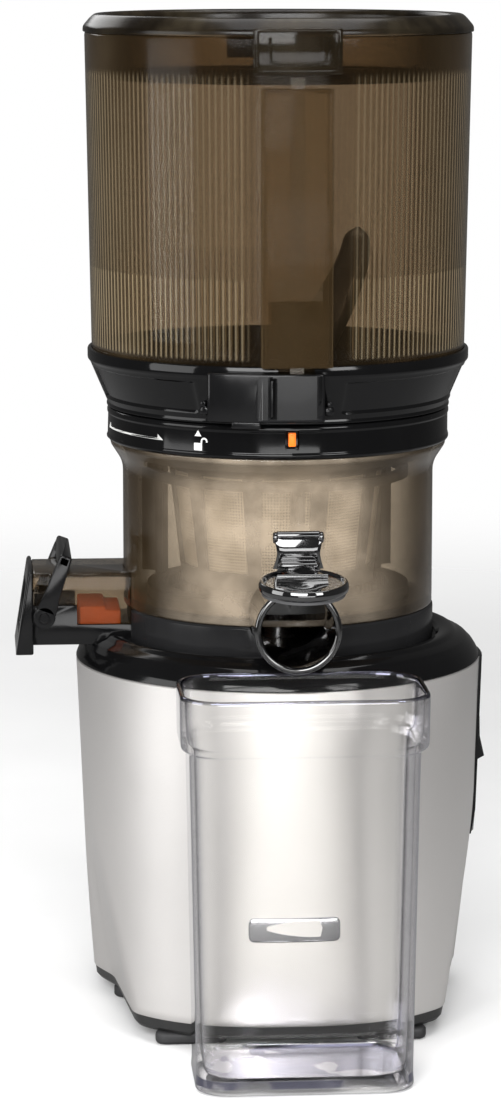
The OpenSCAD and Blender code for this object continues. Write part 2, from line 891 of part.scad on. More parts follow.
base_shell();
top_cover();
bottom_plate();
feet();
base_screws();
badge_plate();
switch_bezel();
switch_housing();
rocker_switch();
cord_gland();
control_board();
motor_mounts();
motor_end_caps();
motor_stator();
motor_rotor();
motor_bearings();
cooling_fan();
motor_pinion();
gearbox_case();
gearbox_lid();
idler_gear();
idler_pin();
output_gear();
output_shaft();
output_bearing();
drive_seal();
bowl();
bowl_foot_ring();
locking_ring();
bowl_seal();
juice_spout();
juice_cap();
cap_seal();
cap_pin();
pulp_duct();
pulp_duct_cover();
pulp_end_plate();
pulp_lever();
pulp_lever_pins();
pulp_plug();
strainer_frame();
strainer_mesh();
brush_frame();
brush_wipers();
brush_pinion();
auger();
cutting_wing();
hopper_base();
hopper();
front_block();
rod_channel();
interlock_rod();
rod_spring();
lock_indicator();
lid();
lid_tab();
lid_hinge_bracket();
lid_hinge_pin();
jug();
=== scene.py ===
"""Slow juicer: looks for the motor base, juicing bowl, hopper, lid and jug.

Every shape is worked out in millimetres from the auger's drive axis, with +Z up and -Y towards
the spout, and is placed in the frame in metres when its mesh is made.
"""

import json
import math

import bmesh
import bpy
import numpy as np
from bpy.props import FloatProperty, FloatVectorProperty, IntProperty, PointerProperty
from mathutils import Matrix, Vector


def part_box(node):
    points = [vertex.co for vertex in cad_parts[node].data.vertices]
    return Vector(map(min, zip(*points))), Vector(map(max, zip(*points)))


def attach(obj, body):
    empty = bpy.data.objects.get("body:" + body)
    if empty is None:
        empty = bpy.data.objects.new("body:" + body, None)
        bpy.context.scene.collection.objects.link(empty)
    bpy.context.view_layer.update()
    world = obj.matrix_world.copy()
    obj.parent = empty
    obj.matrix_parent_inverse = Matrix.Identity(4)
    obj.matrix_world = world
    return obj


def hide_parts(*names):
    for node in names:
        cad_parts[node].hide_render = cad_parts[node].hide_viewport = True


bl_info = {
    "name": "Slow juicer",
    "version": (1, 0, 0),
    "blender": (4, 5, 0),
    "location": "View3D > Sidebar > Juicer",
    "description": "Builds the visible shells, glass, black trim and finishes of a slow juicer",
    "category": "Add Mesh",
}

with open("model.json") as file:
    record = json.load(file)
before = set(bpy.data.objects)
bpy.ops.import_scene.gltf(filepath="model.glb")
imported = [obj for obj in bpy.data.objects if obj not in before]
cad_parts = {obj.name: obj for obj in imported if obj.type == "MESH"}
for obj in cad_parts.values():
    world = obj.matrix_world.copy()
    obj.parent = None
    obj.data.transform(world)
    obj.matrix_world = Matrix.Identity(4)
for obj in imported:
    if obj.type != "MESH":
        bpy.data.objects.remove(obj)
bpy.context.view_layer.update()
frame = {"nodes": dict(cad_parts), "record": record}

MM = 0.001
WELD, CAD_WELD = 2e-7, 2e-6  # points nearer than this are merged, in metres
bowl_low, bowl_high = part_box("bowl")
AXIS = np.array([(bowl_low.x + bowl_high.x) / 2, (bowl_low.y + bowl_high.y) / 2, 0.0])


# ---------- sizes and colours that a user would change ----------


class JuicerSizes(bpy.types.PropertyGroup):
    """Counts and small sizes of the visible detail."""

    flutes: IntProperty(
        name="Flutes", description="Fine upright flutes round the hopper", default=190
    )
    flute_depth: FloatProperty(
        name="Flute depth", description="Depth of one flute", default=0.00055, unit="LENGTH"
    )
    corner: FloatProperty(
        name="Base corner",
        description="How square the base's lower edge is",
        default=0.4,
        subtype="FACTOR",
    )


class JuicerColours(bpy.types.PropertyGroup):
    """Main colours of the object."""

    silver: FloatVectorProperty(
        name="Silver",
        description="Painted base shell",
        default=(0.63, 0.612, 0.597),
        subtype="COLOR",
    )
    smoke: FloatVectorProperty(
        name="Smoke",
        description="Tint of the hopper and bowl",
        default=(0.04, 0.026, 0.012),
        subtype="COLOR",
    )
    gloss: FloatVectorProperty(
        name="Gloss black",
        description="Polished black trim",
        default=(0.0032, 0.0032, 0.0034),
        subtype="COLOR",
    )
    orange: FloatVectorProperty(
        name="Orange",
        description="Silicone plug and lock indicator",
        default=(1.0, 0.2, 0.02),
        subtype="COLOR",
    )
    # this tint also colours the painted shade round the jug's foot
    jug: FloatVectorProperty(
        name="Jug",
        description="Edge tint of the clear jug",
        default=(0.17, 0.17, 0.23),
        subtype="COLOR",
    )


class JuicerStage(bpy.types.PropertyGroup):
    """Camera and lights."""

    distance: FloatProperty(
        name="Distance", description="Camera to drive axis, level", default=1.7, unit="LENGTH"
    )
    height: FloatProperty(name="Height", description="Camera height", default=0.497, unit="LENGTH")
    azimuth: FloatProperty(
        name="Azimuth",
        description="Camera's turn round the object",
        default=math.radians(-4.7),
        subtype="ANGLE",
    )
    pitch: FloatProperty(
        name="Pitch",
        description="Camera's downward tilt",
        default=math.radians(9.58),
        subtype="ANGLE",
    )
    yaw: FloatProperty(
        name="Yaw",
        description="Camera's turn to its own left",
        default=math.radians(0.42),
        subtype="ANGLE",
    )
    lens: FloatProperty(name="Lens", description="Focal length in millimetres", default=122.5)


# ---------- outlines ----------


def softened(points, radius, steps=5):
    """Rounds a closed outline: each corner becomes a parabola that leaves its two edges at the
    same distance, radius or a little under half of the shorter edge."""
    p = np.asarray(points, float)
    back, ahead = np.roll(p, 1, 0) - p, np.roll(p, -1, 0) - p
    back_len = np.linalg.norm(back, axis=1, keepdims=True)
    ahead_len = np.linalg.norm(ahead, axis=1, keepdims=True)
    reach = np.minimum(np.minimum(back_len, ahead_len) * 0.48, np.reshape(radius, (-1, 1)))
    a, b = p + back / back_len * reach, p + ahead / ahead_len * reach
    t = np.linspace(0, 1, steps)[None, :, None]
    curve = (1 - t) ** 2 * a[:, None] + 2 * t * (1 - t) * p[:, None] + t**2 * b[:, None]
    return curve.reshape(-1, 2)


def rectangle(low, high):
    """Corners of a rectangle, anticlockwise."""
    (x0, y0), (x1, y1) = low, high
    return [(x0, y0), (x1, y0), (x1, y1), (x0, y1)]


def resampled(outline, spacing):
    """Adds points along the long edges of a closed outline, so that it can be bent."""
    p = np.asarray(outline, float)
    q = np.roll(p, -1, 0)
    counts = np.maximum(np.ceil(np.linalg.norm(q - p, axis=1) / spacing).astype(int), 1)
    start = np.repeat(np.arange(len(p)), counts)
    first = np.repeat(np.cumsum(counts) - counts, counts)
    share = (np.arange(counts.sum()) - first) / counts[start]
    return p[start] + (q[start] - p[start]) * share[:, None]


def inset(outline, amount):
    """Moves a closed anticlockwise outline inwards along its points' own normals."""
    p = np.asarray(outline, float)
    along = np.roll(p, -1, 0) - np.roll(p, 1, 0)
    along /= np.maximum(np.linalg.norm(along, axis=1, keepdims=True), 1e-9)
    return p + np.stack([-along[:, 1], along[:, 0]], 1) * amount


# ---------- surfaces: each gives points and faces, in millimetres ----------


def quads(rows, cols, wrap_rows):
    """Index of every quad on a grid of points whose rows are closed rings."""
    r = np.arange(rows if wrap_rows else rows - 1)[:, None]
    c = np.arange(cols)[None, :]
    r1, c1 = (r + 1) % rows, (c + 1) % cols
    return np.stack([r * cols + c, r * cols + c1, r1 * cols + c1, r1 * cols + c], -1).reshape(-1, 4)


def skin(grid, wrap_rows=False, caps=False):
    """Turns a grid of points, rows by columns by 3, into points and faces. Each row is a closed
    ring, and caps close the first and the last with one flat face each."""
    rows, cols = grid.shape[:2]
    faces = quads(rows, cols, wrap_rows).tolist()
    if caps:
        faces.append(list(range(cols))[::-1])
        faces.append(list(range((rows - 1) * cols, rows * cols)))
    return grid.reshape(-1, 3), faces


def lathe(profile, columns, swell=None):
    """Carries a closed (radius, height) outline round the drive axis. swell(angle, radius,
    height) gives what is added to the radius there, with angle 0 at the front and positive
    towards +X."""
    p = np.asarray(profile, float)
    a = np.radians(np.linspace(0, 360, columns, endpoint=False))[None, :]
    r, z = p[:, :1] + 0 * a, p[:, 1:] + 0 * a
    if swell:
        r = r + swell(np.degrees(a) + 0 * r, r, z)
    grid = np.stack([r * np.sin(a), -r * np.cos(a), z], -1)
    return skin(grid, wrap_rows=True)


def prism(outline, low, high, edge=0.5, steps=4):
    """A closed outline raised from low to high, its two rims rounded by edge. Over a quarter
    turn from each rim inwards the outline is shrunk by edge times one minus the turn's sine, at
    edge times one minus the turn's cosine from the rim."""
    a = np.linspace(0, math.pi / 2, steps)
    shrink = edge * (1 - np.sin(a))
    climb = edge * (1 - np.cos(a))
    rings = [(s, low + c) for s, c in zip(shrink, climb)]
    rings += [(s, high - c) for s, c in zip(shrink[::-1], climb[::-1])]
    rows = [np.column_stack([inset(outline, s), np.full(len(outline), z)]) for s, z in rings]
    return skin(np.stack(rows), caps=True)


def block(low, high, edge, corner, spacing=1e3):
    """A box with rounded upright corners and rounded rims, and with points along its long sides
    at the given spacing."""
    outline = softened(rectangle(low[:2], high[:2]), corner)
    return prism(resampled(outline, spacing), low[2], high[2], edge)


def tube(path, radius, sides, up, closed=False, flat=1.0):
    """Carries an ellipse along a path. Its first axis is the cross product of the path's
    direction with up, and its second, flat times as long, is the cross product of the first with
    the direction."""
    p = np.asarray(path, float)
    if closed:
        along = np.roll(p, -1, 0) - np.roll(p, 1, 0)
    else:
        along = np.gradient(p, axis=0)
    along /= np.linalg.norm(along, axis=1, keepdims=True)
    side = np.cross(along, up)
    side /= np.linalg.norm(side, axis=1, keepdims=True)
    top = np.cross(side, along)
    radius = np.broadcast_to(np.asarray(radius, float), len(p))[:, None, None]
    a = np.linspace(0, 2 * math.pi, sides, endpoint=False)[None, :, None]
    grid = p[:, None] + radius * (np.cos(a) * side[:, None] + np.sin(a) * top[:, None] * flat)
    return skin(grid, wrap_rows=closed, caps=not closed)


def curve_through(points, count):
    """A smooth path through a few points, as Catmull-Rom segments."""
    p = np.asarray(points, float)
    p = np.vstack([2 * p[0] - p[1], p, 2 * p[-1] - p[-2]])
    u = np.linspace(0, len(p) - 3, count)
    i = np.minimum(u.astype(int), len(p) - 4)
    t = (u - i)[:, None]
    a, b, c, d = p[i], p[i + 1], p[i + 2], p[i + 3]
    square, cube = 2 * a - 5 * b + 4 * c - d, 3 * b - 3 * c + d - a
    return 0.5 * (2 * b + (c - a) * t + square * t**2 + cube * t**3)


def placed(surface, matrix=None, shift=(0, 0, 0)):
    """Moves a surface by a 3 x 3 turn or mirror, and a shift."""
    points, faces = surface
    turned = points @ np.asarray(matrix, float).T if matrix is not None else points
    return turned + np.asarray(shift, float), faces


def bent(surface, radius, facing=0.0):
    """Wraps a flat surface round the drive axis: x runs round the circle of that radius from the
    facing angle, y stands out from it, z stays."""
    points, faces = surface
    a = points[:, 0] / radius + math.radians(facing)
    r = radius + points[:, 1]
    return np.column_stack([r * np.sin(a), -r * np.cos(a), points[:, 2]]), faces


TURN_X = np.array([[1, 0, 0], [0, 0, -1], [0, 1, 0]])  # z becomes -y, y becomes z
TURN_Y = np.array([[0, 0, 1], [0, 1, 0], [-1, 0, 0]])  # z becomes x, x becomes -z
SWAP_YZ = np.array([[1, 0, 0], [0, 0, 1], [0, 1, 0]])  # y becomes z, z becomes y
CYCLE = np.array([[0, 0, 1], [1, 0, 0], [0, 1, 0]])  # x becomes y, y becomes z, z becomes x
FLIP_Z = np.diag([1, 1, -1])  # z becomes -z


def about_x(degrees):
    """The 3 x 3 turn about +X."""
    return np.array(Matrix.Rotation(math.radians(degrees), 3, "X"))


def smooth_step(low, high, value):
    """0 below low, 1 above high, and a smooth S between them."""
    t = np.clip((value - low) / (high - low), 0, 1)
    return t * t * (3 - 2 * t)


def smooth_min(a, b, width):
    """The lower of two values, blended over the given width."""
    h = np.clip(0.5 + 0.5 * (b - a) / width, 0, 1)
    return b + (a - b) * h - width * h * (1 - h)


# ---------- from surfaces to objects ----------


def signed_volume(points, faces):
    """Six times the volume that a closed surface holds, negative when it is inside out."""
    total = 0.0
    for size in set(map(len, faces)):
        corners = points[np.array([f for f in faces if len(f) == size])]
        first = corners[:, 0]
        for i in range(1, size - 1):
            total += np.einsum("ij,ij->i", first, np.cross(corners[:, i], corners[:, i + 1])).sum()
    return total


def joined(surfaces):
    """Points and faces of several closed surfaces, each with its faces outwards."""
    points, faces, base = [], [], 0
    for p, f in surfaces:
        if signed_volume(p - p.mean(0), f) < 0:
            f = [g[::-1] for g in f]
        points.append(p)
        faces += [[i + base for i in g] for g in f]
        base += len(p)
    return np.concatenate(points), faces


def in_scene(name, data):
    """A new object in the scene that holds the given mesh, light or camera."""
    made = bpy.data.objects.new(name, data)
    bpy.context.scene.collection.objects.link(made)
    return made


def shade(mesh, crease):
    """Shades a mesh smooth up to the crease angle in degrees."""
    mesh.shade_smooth()
    mesh.set_sharp_from_angle(angle=math.radians(crease))


def mesh_object(name, surfaces, crease=35.0):
    """A new object from surfaces in millimetres, smooth up to the crease angle."""
    points, faces = joined(surfaces)
    mesh = bpy.data.meshes.new(name)
    mesh.from_pydata((points * MM + AXIS).tolist(), [], faces)
    work = bmesh.new()
    work.from_mesh(mesh)
    bmesh.ops.remove_doubles(work, verts=work.verts, dist=WELD)
    bmesh.ops.dissolve_degenerate(work, edges=work.edges, dist=WELD)
    work.to_mesh(mesh)
    work.free()
    shade(mesh, crease)
    return in_scene(name, mesh)


def cut_away(piece, surfaces, crease, overlaps=False):
    """Takes surfaces out of a piece with an exact Boolean, and keeps the result as its mesh.
    overlaps says that the piece is made of solids that run into each other."""
    cutter = mesh_object(piece.name + "_cutter", surfaces)
    boolean = piece.modifiers.new("cut", "BOOLEAN")
    boolean.object = cutter
    boolean.solver = "EXACT"
    boolean.use_self = overlaps
    settle(piece)
    bpy.data.objects.remove(cutter)
    shade(piece.data, crease)
    return piece


def settle(piece):
    """Swaps a piece's mesh for the one its modifiers give, and clears them."""
    bpy.context.view_layer.update()
    seen = piece.evaluated_get(bpy.context.evaluated_depsgraph_get())
    mesh = bpy.data.meshes.new_from_object(seen)
    piece.modifiers.clear()
    piece.data = mesh


def eased(node, width):
    """A copy of a CAD node's mesh with its loose triangles merged, its flat faces joined and its
    edges rounded over a width in millimetres."""
    flat, edge, crease = 1, 30, 40  # degrees
    mesh = frame["nodes"][node].data.copy()
    work = bmesh.new()
    work.from_mesh(mesh)
    bmesh.ops.remove_doubles(work, verts=work.verts, dist=CAD_WELD)
    limit = math.radians(flat)
    bmesh.ops.dissolve_limit(work, angle_limit=limit, verts=work.verts, edges=work.edges)
    work.to_mesh(mesh)
    work.free()
    mesh.materials.clear()
    piece = in_scene(node + "_skin", mesh)
    bevel = piece.modifiers.new("edges", "BEVEL")
    bevel.width = width * MM
    bevel.segments = 3
    bevel.limit_method = "ANGLE"
    bevel.angle_limit = math.radians(edge)
    bevel.use_clamp_overlap = True
    settle(piece)
    shade(piece.data, crease)
    return piece


def finish(piece, material, node, body=None, replaces=True):
    """Gives a piece its material and body, and hides the CAD node it stands for."""
    piece.data.materials.clear()
    piece.data.materials.append(material)
    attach(piece, body or node_body(node))
    if replaces:
        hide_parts(node)


def node_body(node):
    """Name of the CAD body that holds a node."""
    groups = frame["record"]["behaviour"]["bodies"]
    return next(body for body, nodes in groups.items() if node in nodes)


# ---------- materials ----------

# heights in millimetres that a shape and its material share: the hopper's flutes end at the first
# and the last and are deeper below the middle one, and the jug's lip starts under its rim
FLUTE_FOOT, FLUTE_STEP, FLUTE_TOP = 308.0, 342.5, 428.0
JUG_RIM = 173.0


class Signal:
    """A value in a material's node tree. Arithmetic on it adds Math nodes."""

    def __init__(self, finish, socket):
        self.finish, self.socket = finish, socket

    def math(self, operation, *others):
        """Adds a Math node that works on this value and the others."""
        return self.finish.node("ShaderNodeMath", {"operation": operation}, [self, *others])

    def __add__(self, other):
        return self.math("ADD", other)

    def __mul__(self, other):
        return self.math("MULTIPLY", other)

    def __sub__(self, other):
        return self.math("SUBTRACT", other)

    def __rsub__(self, other):
        return self.finish.node("ShaderNodeMath", {"operation": "SUBTRACT"}, [other, self])

    def __pow__(self, other):
        return self.math("POWER", other)

    __radd__ = __add__
    __rmul__ = __mul__


class Finish:
    """One material, built from a Principled shader and a few patterns."""

    def __init__(self, name, **shader):
        self.material = bpy.data.materials.new(name)
        self.material.use_nodes = True
        self.tree = self.material.node_tree
        self.shader = self.tree.nodes["Principled BSDF"]
        for socket, value in shader.items():
            self.set(socket.replace("_", " "), value)
        self.place = self.node("ShaderNodeTexCoord", {}, [], "Object")

    def node(self, kind, settings, values, output=0):
        """Adds a node: its settings first, then the values or links of its sockets."""
        made = self.tree.nodes.new(kind)
        for key, value in settings.items():
            setattr(made, key, value)
        named = values.items() if isinstance(values, dict) else enumerate(values)
        for key, value in named:
            if isinstance(value, Signal):
                self.tree.links.new(value.socket, made.inputs[key])
            else:
                made.inputs[key].default_value = value
        return Signal(self, made.outputs[output])

    def set(self, name, value):
        """Sets or links one socket of the shader."""
        if isinstance(value, Signal):
            self.tree.links.new(value.socket, self.shader.inputs[name])
            return
        if hasattr(value, "__len__") and len(value) == 3:
            value = (*value, 1.0)
        self.shader.inputs[name].default_value = value

    def noise(self, scale, detail=3.0, roughness=0.55, stretch=(1, 1, 1)):
        """Smooth noise from 0 to 1 on Object coordinates, scale in cells a metre."""
        place = self.node("ShaderNodeMapping", {}, {"Vector": self.place, "Scale": stretch})
        return self.node(
            "ShaderNodeTexNoise",
            {"noise_dimensions": "3D"},
            {"Vector": place, "Scale": scale, "Detail": detail, "Roughness": roughness},
        )

    def spots(self, scale):
        """Distance to the nearest of many scattered points."""
        return self.node("ShaderNodeTexVoronoi", {}, {"Vector": self.place, "Scale": scale})

    def band(self, value, low, high, out_low=0.0, out_high=1.0):
        """Maps a value from one range onto another, held at the ends."""
        return self.node(
            "ShaderNodeMapRange",
            {"clamp": True, "interpolation_type": "SMOOTHSTEP"},
            [value, low, high, out_low, out_high],
        )

    def blend(self, factor, a, b):
        """Mixes two colours."""
        mixed = self.tree.nodes.new("ShaderNodeMix")
        mixed.data_type = "RGBA"
        for index, value in ((0, factor), (6, a), (7, b)):
            if isinstance(value, Signal):
                self.tree.links.new(value.socket, mixed.inputs[index])
            else:
                mixed.inputs[index].default_value = value if index == 0 else (*value, 1.0)[:4]
        return Signal(self, mixed.outputs[2])

    def facing(self, amount=0.5):
        """0 where the surface faces the eye and 1 at its outline."""
        return self.node("ShaderNodeLayerWeight", {}, {"Blend": amount}, "Facing")

    def bump(self, height, strength, distance):
        """Tilts the surface as if a height from 0 to 1 stood out by a distance in metres."""
        values = {"Strength": strength, "Distance": distance, "Height": height}
        self.set("Normal", self.node("ShaderNodeBump", {}, values))
        return self

    def see_through(self, colour, density):
        """Shows what lies behind, through a plain tint, wherever density is low."""
        clear = self.tree.nodes.new("ShaderNodeBsdfTransparent")
        mixed = self.tree.nodes.new("ShaderNodeMixShader")
        clear.inputs["Color"].default_value = (*colour, 1.0)
        links = self.tree.links
        links.new(density.socket, mixed.inputs[0])
        links.new(clear.outputs[0], mixed.inputs[1])
        links.new(self.shader.outputs[0], mixed.inputs[2])
        links.new(mixed.outputs[0], self.tree.nodes["Material Output"].inputs["Surface"])
        return self

    def axes(self):
        """The three Object coordinates, measured from the drive axis."""
        split = self.tree.nodes.new("ShaderNodeSeparateXYZ")
        self.tree.links.new(self.place.socket, split.inputs[0])
        x, y, z = (Signal(self, out) for out in split.outputs)
        return x - float(AXIS[0]), y - float(AXIS[1]), z


def tint(colour, amount):
    """A colour multiplied by a number."""
    return tuple(float(c) * amount for c in colour)


def silver_paint(colour):
    """Satin metallic paint: tiny flakes in the colour and the bump, and a faint cloud."""
    m = Finish("silver_paint", Metallic=0.86, Coat_Weight=0.1, Coat_Roughness=0.2)
    flakes = m.spots(5200.0)
    cloud = m.noise(14.0, 4.0)
    sparkle = flakes * 0.5 + cloud * 0.25
    m.set("Base Color", m.blend(sparkle, tint(colour, 1.15), tint(colour, 1.35)))
    m.set("Roughness", m.band(cloud, 0.3, 0.7, 0.36, 0.42))
    return m.bump(flakes, 0.12, 0.00004).material


def polished_black(colour, name="polished_black", roughness=0.07, shine=0.22):
    """Mirror-moulded plastic, black or nearly so, with faint smears that change its gloss."""
    m = Finish(name, Specular_IOR_Level=shine, Coat_Weight=shine * shine, Coat_Roughness=0.03)
    smear = m.noise(38.0, 5.0, 0.6, (1, 1, 0.4))
    m.set("Base Color", m.blend(smear, tint(colour, 0.8), tint(colour, 1.5)))
    m.set("Roughness", m.band(smear, 0.35, 0.75, roughness, roughness + 0.09))
    return m.bump(m.noise(420.0, 2.0), 0.03, 0.0001).material


def satin_black(name="satin_black", grey=0.018, roughness=0.36):
    """Fine spark-eroded plastic, black or a chosen grey: a small even grain in bump and gloss."""
    m = Finish(name)
    grit = m.noise(2600.0, 2.0, 0.5)
    wide = m.noise(30.0, 3.0)
    m.set("Base Color", m.blend(wide, (grey * 0.8,) * 3, (grey * 1.3,) * 3))
    m.set("Roughness", m.band(grit, 0.3, 0.7, roughness - 0.06, roughness + 0.08))
    return m.bump(grit, 0.2, 0.00008).material


def smoke_plastic(
    name,
    tone,
    colour,
    thin=0.1,
    dense=0.85,
    flutes=0,
    shine=0.6,
    rough=0.05,
    full=None,
    inner_light_paint=0.0,
    pale=(0.36, 0.29, 0.18),
):
    """Tinted clear plastic. It passes the tone where it faces the eye and turns to its own dark
    colour at its outline, between the densities thin and dense, with a faint haze. An optional
    pale film of painted light stands for the lit inside seen through the wall: strongest face-on,
    it fades towards the outline. Above the height full it is nearly solid. Flutes are pale upright
    lines of painted highlight, standing for the light the flutes catch: the cube of a raised cosine
    of the angle round the drive axis times their number, stronger below the flutes' step and gone
    by the rod channel and the rim. The colour pale serves the haze and both painted marks."""
    m = Finish(name, Specular_IOR_Level=shine, Coat_Weight=shine, Coat_Roughness=0.03 + rough)
    haze = m.noise(22.0, 4.0, 0.6, (1, 1, 0.5))
    density = m.band(m.facing(0.5) ** 1.35 + haze * 0.1, 0.05, 0.95, thin, dense)
    light = m.band(haze, 0.35, 0.8, 0.0, 0.12)
    x, y, z = m.axes()
    # painted light: a pale film, strongest where the wall faces the eye, that stands for the lit
    # inside seen through it
    if inner_light_paint:
        cloud = 0.6 + m.band(m.noise(34.0, 5.0), 0.35, 0.65) * 0.4
        film = m.band(m.facing(0.5), 0.0, 0.5, 1.0, 0.0) * cloud
        density = density + film * inner_light_paint
        light = light + film
    if full is not None:
        fade = 0.6 * MM
        density = density + m.band(z, full - fade, full + fade, 0.0, 0.8)
    # painted highlights: pale, denser lines where the flutes would catch the light, stronger in the
    # low band
    if flutes:
        turn = x.math("ARCTAN2", y * -1.0)
        wave = (turn * float(flutes)).math("COSINE") * 0.5 + 0.5
        low = m.band(z, (FLUTE_STEP + 0.7) * MM, (FLUTE_STEP - 0.5) * MM, 0.6, 1.0)
        from_channel = (turn - 0.035).math("ABSOLUTE")  # radians from the rod channel's middle
        beside = m.band(from_channel, 0.25, 0.29)
        above_foot = m.band(z, (FLUTE_FOOT - 1.5) * MM, FLUTE_FOOT * MM)
        below_rim = m.band(z, (FLUTE_TOP + 4.0) * MM, FLUTE_TOP * MM)
        line = (wave**3.0) * low * beside * (above_foot * below_rim)
        density = density + line * 0.22
        light = light + line
    m.set("Base Color", m.blend(light, colour, pale))
    m.set("Roughness", m.band(haze, 0.3, 0.8, rough, rough + 0.1))
    m.bump(m.noise(160.0, 2.0), 0.04, 0.0002)
    return m.see_through(tone, density).material


def clear_plastic(colour):
    """Clear jug plastic: a mirror of its surroundings that fades to nothing face-on, and a cool
    grey line wherever it turns away and along its lip. Round its foot a darker grey band is
    painted shade, standing for the dark surroundings seen through the thick base."""
    m = Finish("clear_plastic", Metallic=1.0)
    haze = m.noise(30.0, 3.0)
    rim = m.facing(0.5) ** 1.7
    _, _, z = m.axes()
    # painted shade: a denser grey band round the foot for the dark surroundings seen through the
    # thick base
    above_ground = m.band(z, 2.5 * MM, 3.5 * MM)
    below_wall = m.band(z, 7.2 * MM, 6.2 * MM)
    foot = above_ground * below_wall * m.band(haze, 0.42, 0.5, 0.2, 1.0)
    lip = m.band(z, (JUG_RIM - 1.8) * MM, (JUG_RIM - 1.2) * MM)
    m.set("Base Color", m.blend(rim + foot + lip, (0.95, 0.94, 0.94), colour))
    m.set("Roughness", m.band(haze, 0.3, 0.7, 0.02, 0.07))
    m.bump(m.noise(90.0, 2.0), 0.03, 0.0002)
    density = m.band(rim + haze * 0.03, 0.0, 0.7, 0.008, 0.95) + foot * 0.75 + lip * 0.4
    return m.see_through((0.992, 0.991, 0.988), density).material


def rubber(name="black_rubber", colour=(0.02, 0.02, 0.021), roughness=0.62):
    """Soft rubber or silicone: matt, slightly dusty, with a fine pebble."""
    m = Finish(name)
    dust = m.noise(55.0, 5.0, 0.65)
    dusty = tuple(c * 1.3 + 0.01 for c in colour)
    m.set("Base Color", m.blend(m.band(dust, 0.45, 0.8), colour, dusty))
    m.set("Roughness", m.band(dust, 0.3, 0.7, roughness - 0.08, roughness + 0.12))
    return m.bump(m.noise(1800.0, 2.0), 0.25, 0.0001).material


def metal(name, colour, roughness=0.3, stretch=(1, 1, 14), scale=500.0):
    """Turned, ground or cast metal: grain stretched round or along the part."""
    m = Finish(name, Metallic=1.0)
    grain = m.noise(scale, 3.0, 0.6, stretch)
    m.set("Base Color", m.blend(grain, tint(colour, 0.75), tint(colour, 1.1)))
    m.set("Roughness", m.band(grain, 0.2, 0.8, roughness - 0.08, roughness + 0.12))
    return m.bump(grain, 0.15, 0.00008).material


def circuit_board():
    """Green lacquer with darker copper runs under it."""
    m = Finish("circuit_board", Coat_Weight=0.4)
    runs = m.spots(260.0)
    m.set("Base Color", m.blend(m.band(runs, 0.25, 0.3), (0.01, 0.07, 0.03), (0.02, 0.16, 0.06)))
    m.set("Roughness", m.band(runs, 0.2, 0.4, 0.3, 0.5))
    return m.bump(runs, 0.2, 0.0001).material


def laminated_steel():
    """Stacked motor sheets: fine level lines."""
    m = Finish("laminated_steel", Metallic=0.9)
    _, _, z = m.axes()
    line = (z * 5200.0).math("SINE") * 0.5 + 0.5
    m.set("Base Color", m.blend(line, (0.12, 0.11, 0.11), (0.33, 0.33, 0.34)))
    m.set("Roughness", m.band(line, 0.0, 1.0, 0.6, 0.35))
    return m.bump(line, 0.4, 0.0002).material


def perforated_steel():
    """Strainer wall: rows of tiny round holes, worked out from height and angle."""
    pitch, radius = 1.4, 47.0  # between holes, and of the wall, in millimetres
    m = Finish("perforated_steel", Metallic=0.35)
    x, y, z = m.axes()
    turn = y.math("ARCTAN2", x) * (radius / pitch)
    rise = z * (1 / MM / pitch)
    u = turn.math("FRACT") - 0.5
    v = rise.math("FRACT") - 0.5
    hole = (u * u + v * v).math("SQRT")
    m.set("Base Color", m.blend(m.noise(60.0), (0.78, 0.75, 0.68), (0.9, 0.87, 0.8)))
    m.set("Roughness", m.band(hole, 0.2, 0.5, 0.5, 0.3))
    m.set("Alpha", m.band(hole, 0.3, 0.36))
    return m.material


def printed_mark():
    """White ink on black plastic, slightly uneven."""
    m = Finish("printed_mark")
    ink = m.noise(900.0, 3.0)
    m.set("Base Color", m.blend(ink, (0.62, 0.62, 0.6), (0.82, 0.82, 0.8)))
    m.set("Roughness", m.band(ink, 0.3, 0.7, 0.4, 0.55))
    return m.bump(ink, 0.1, 0.00005).material


finishes = {}


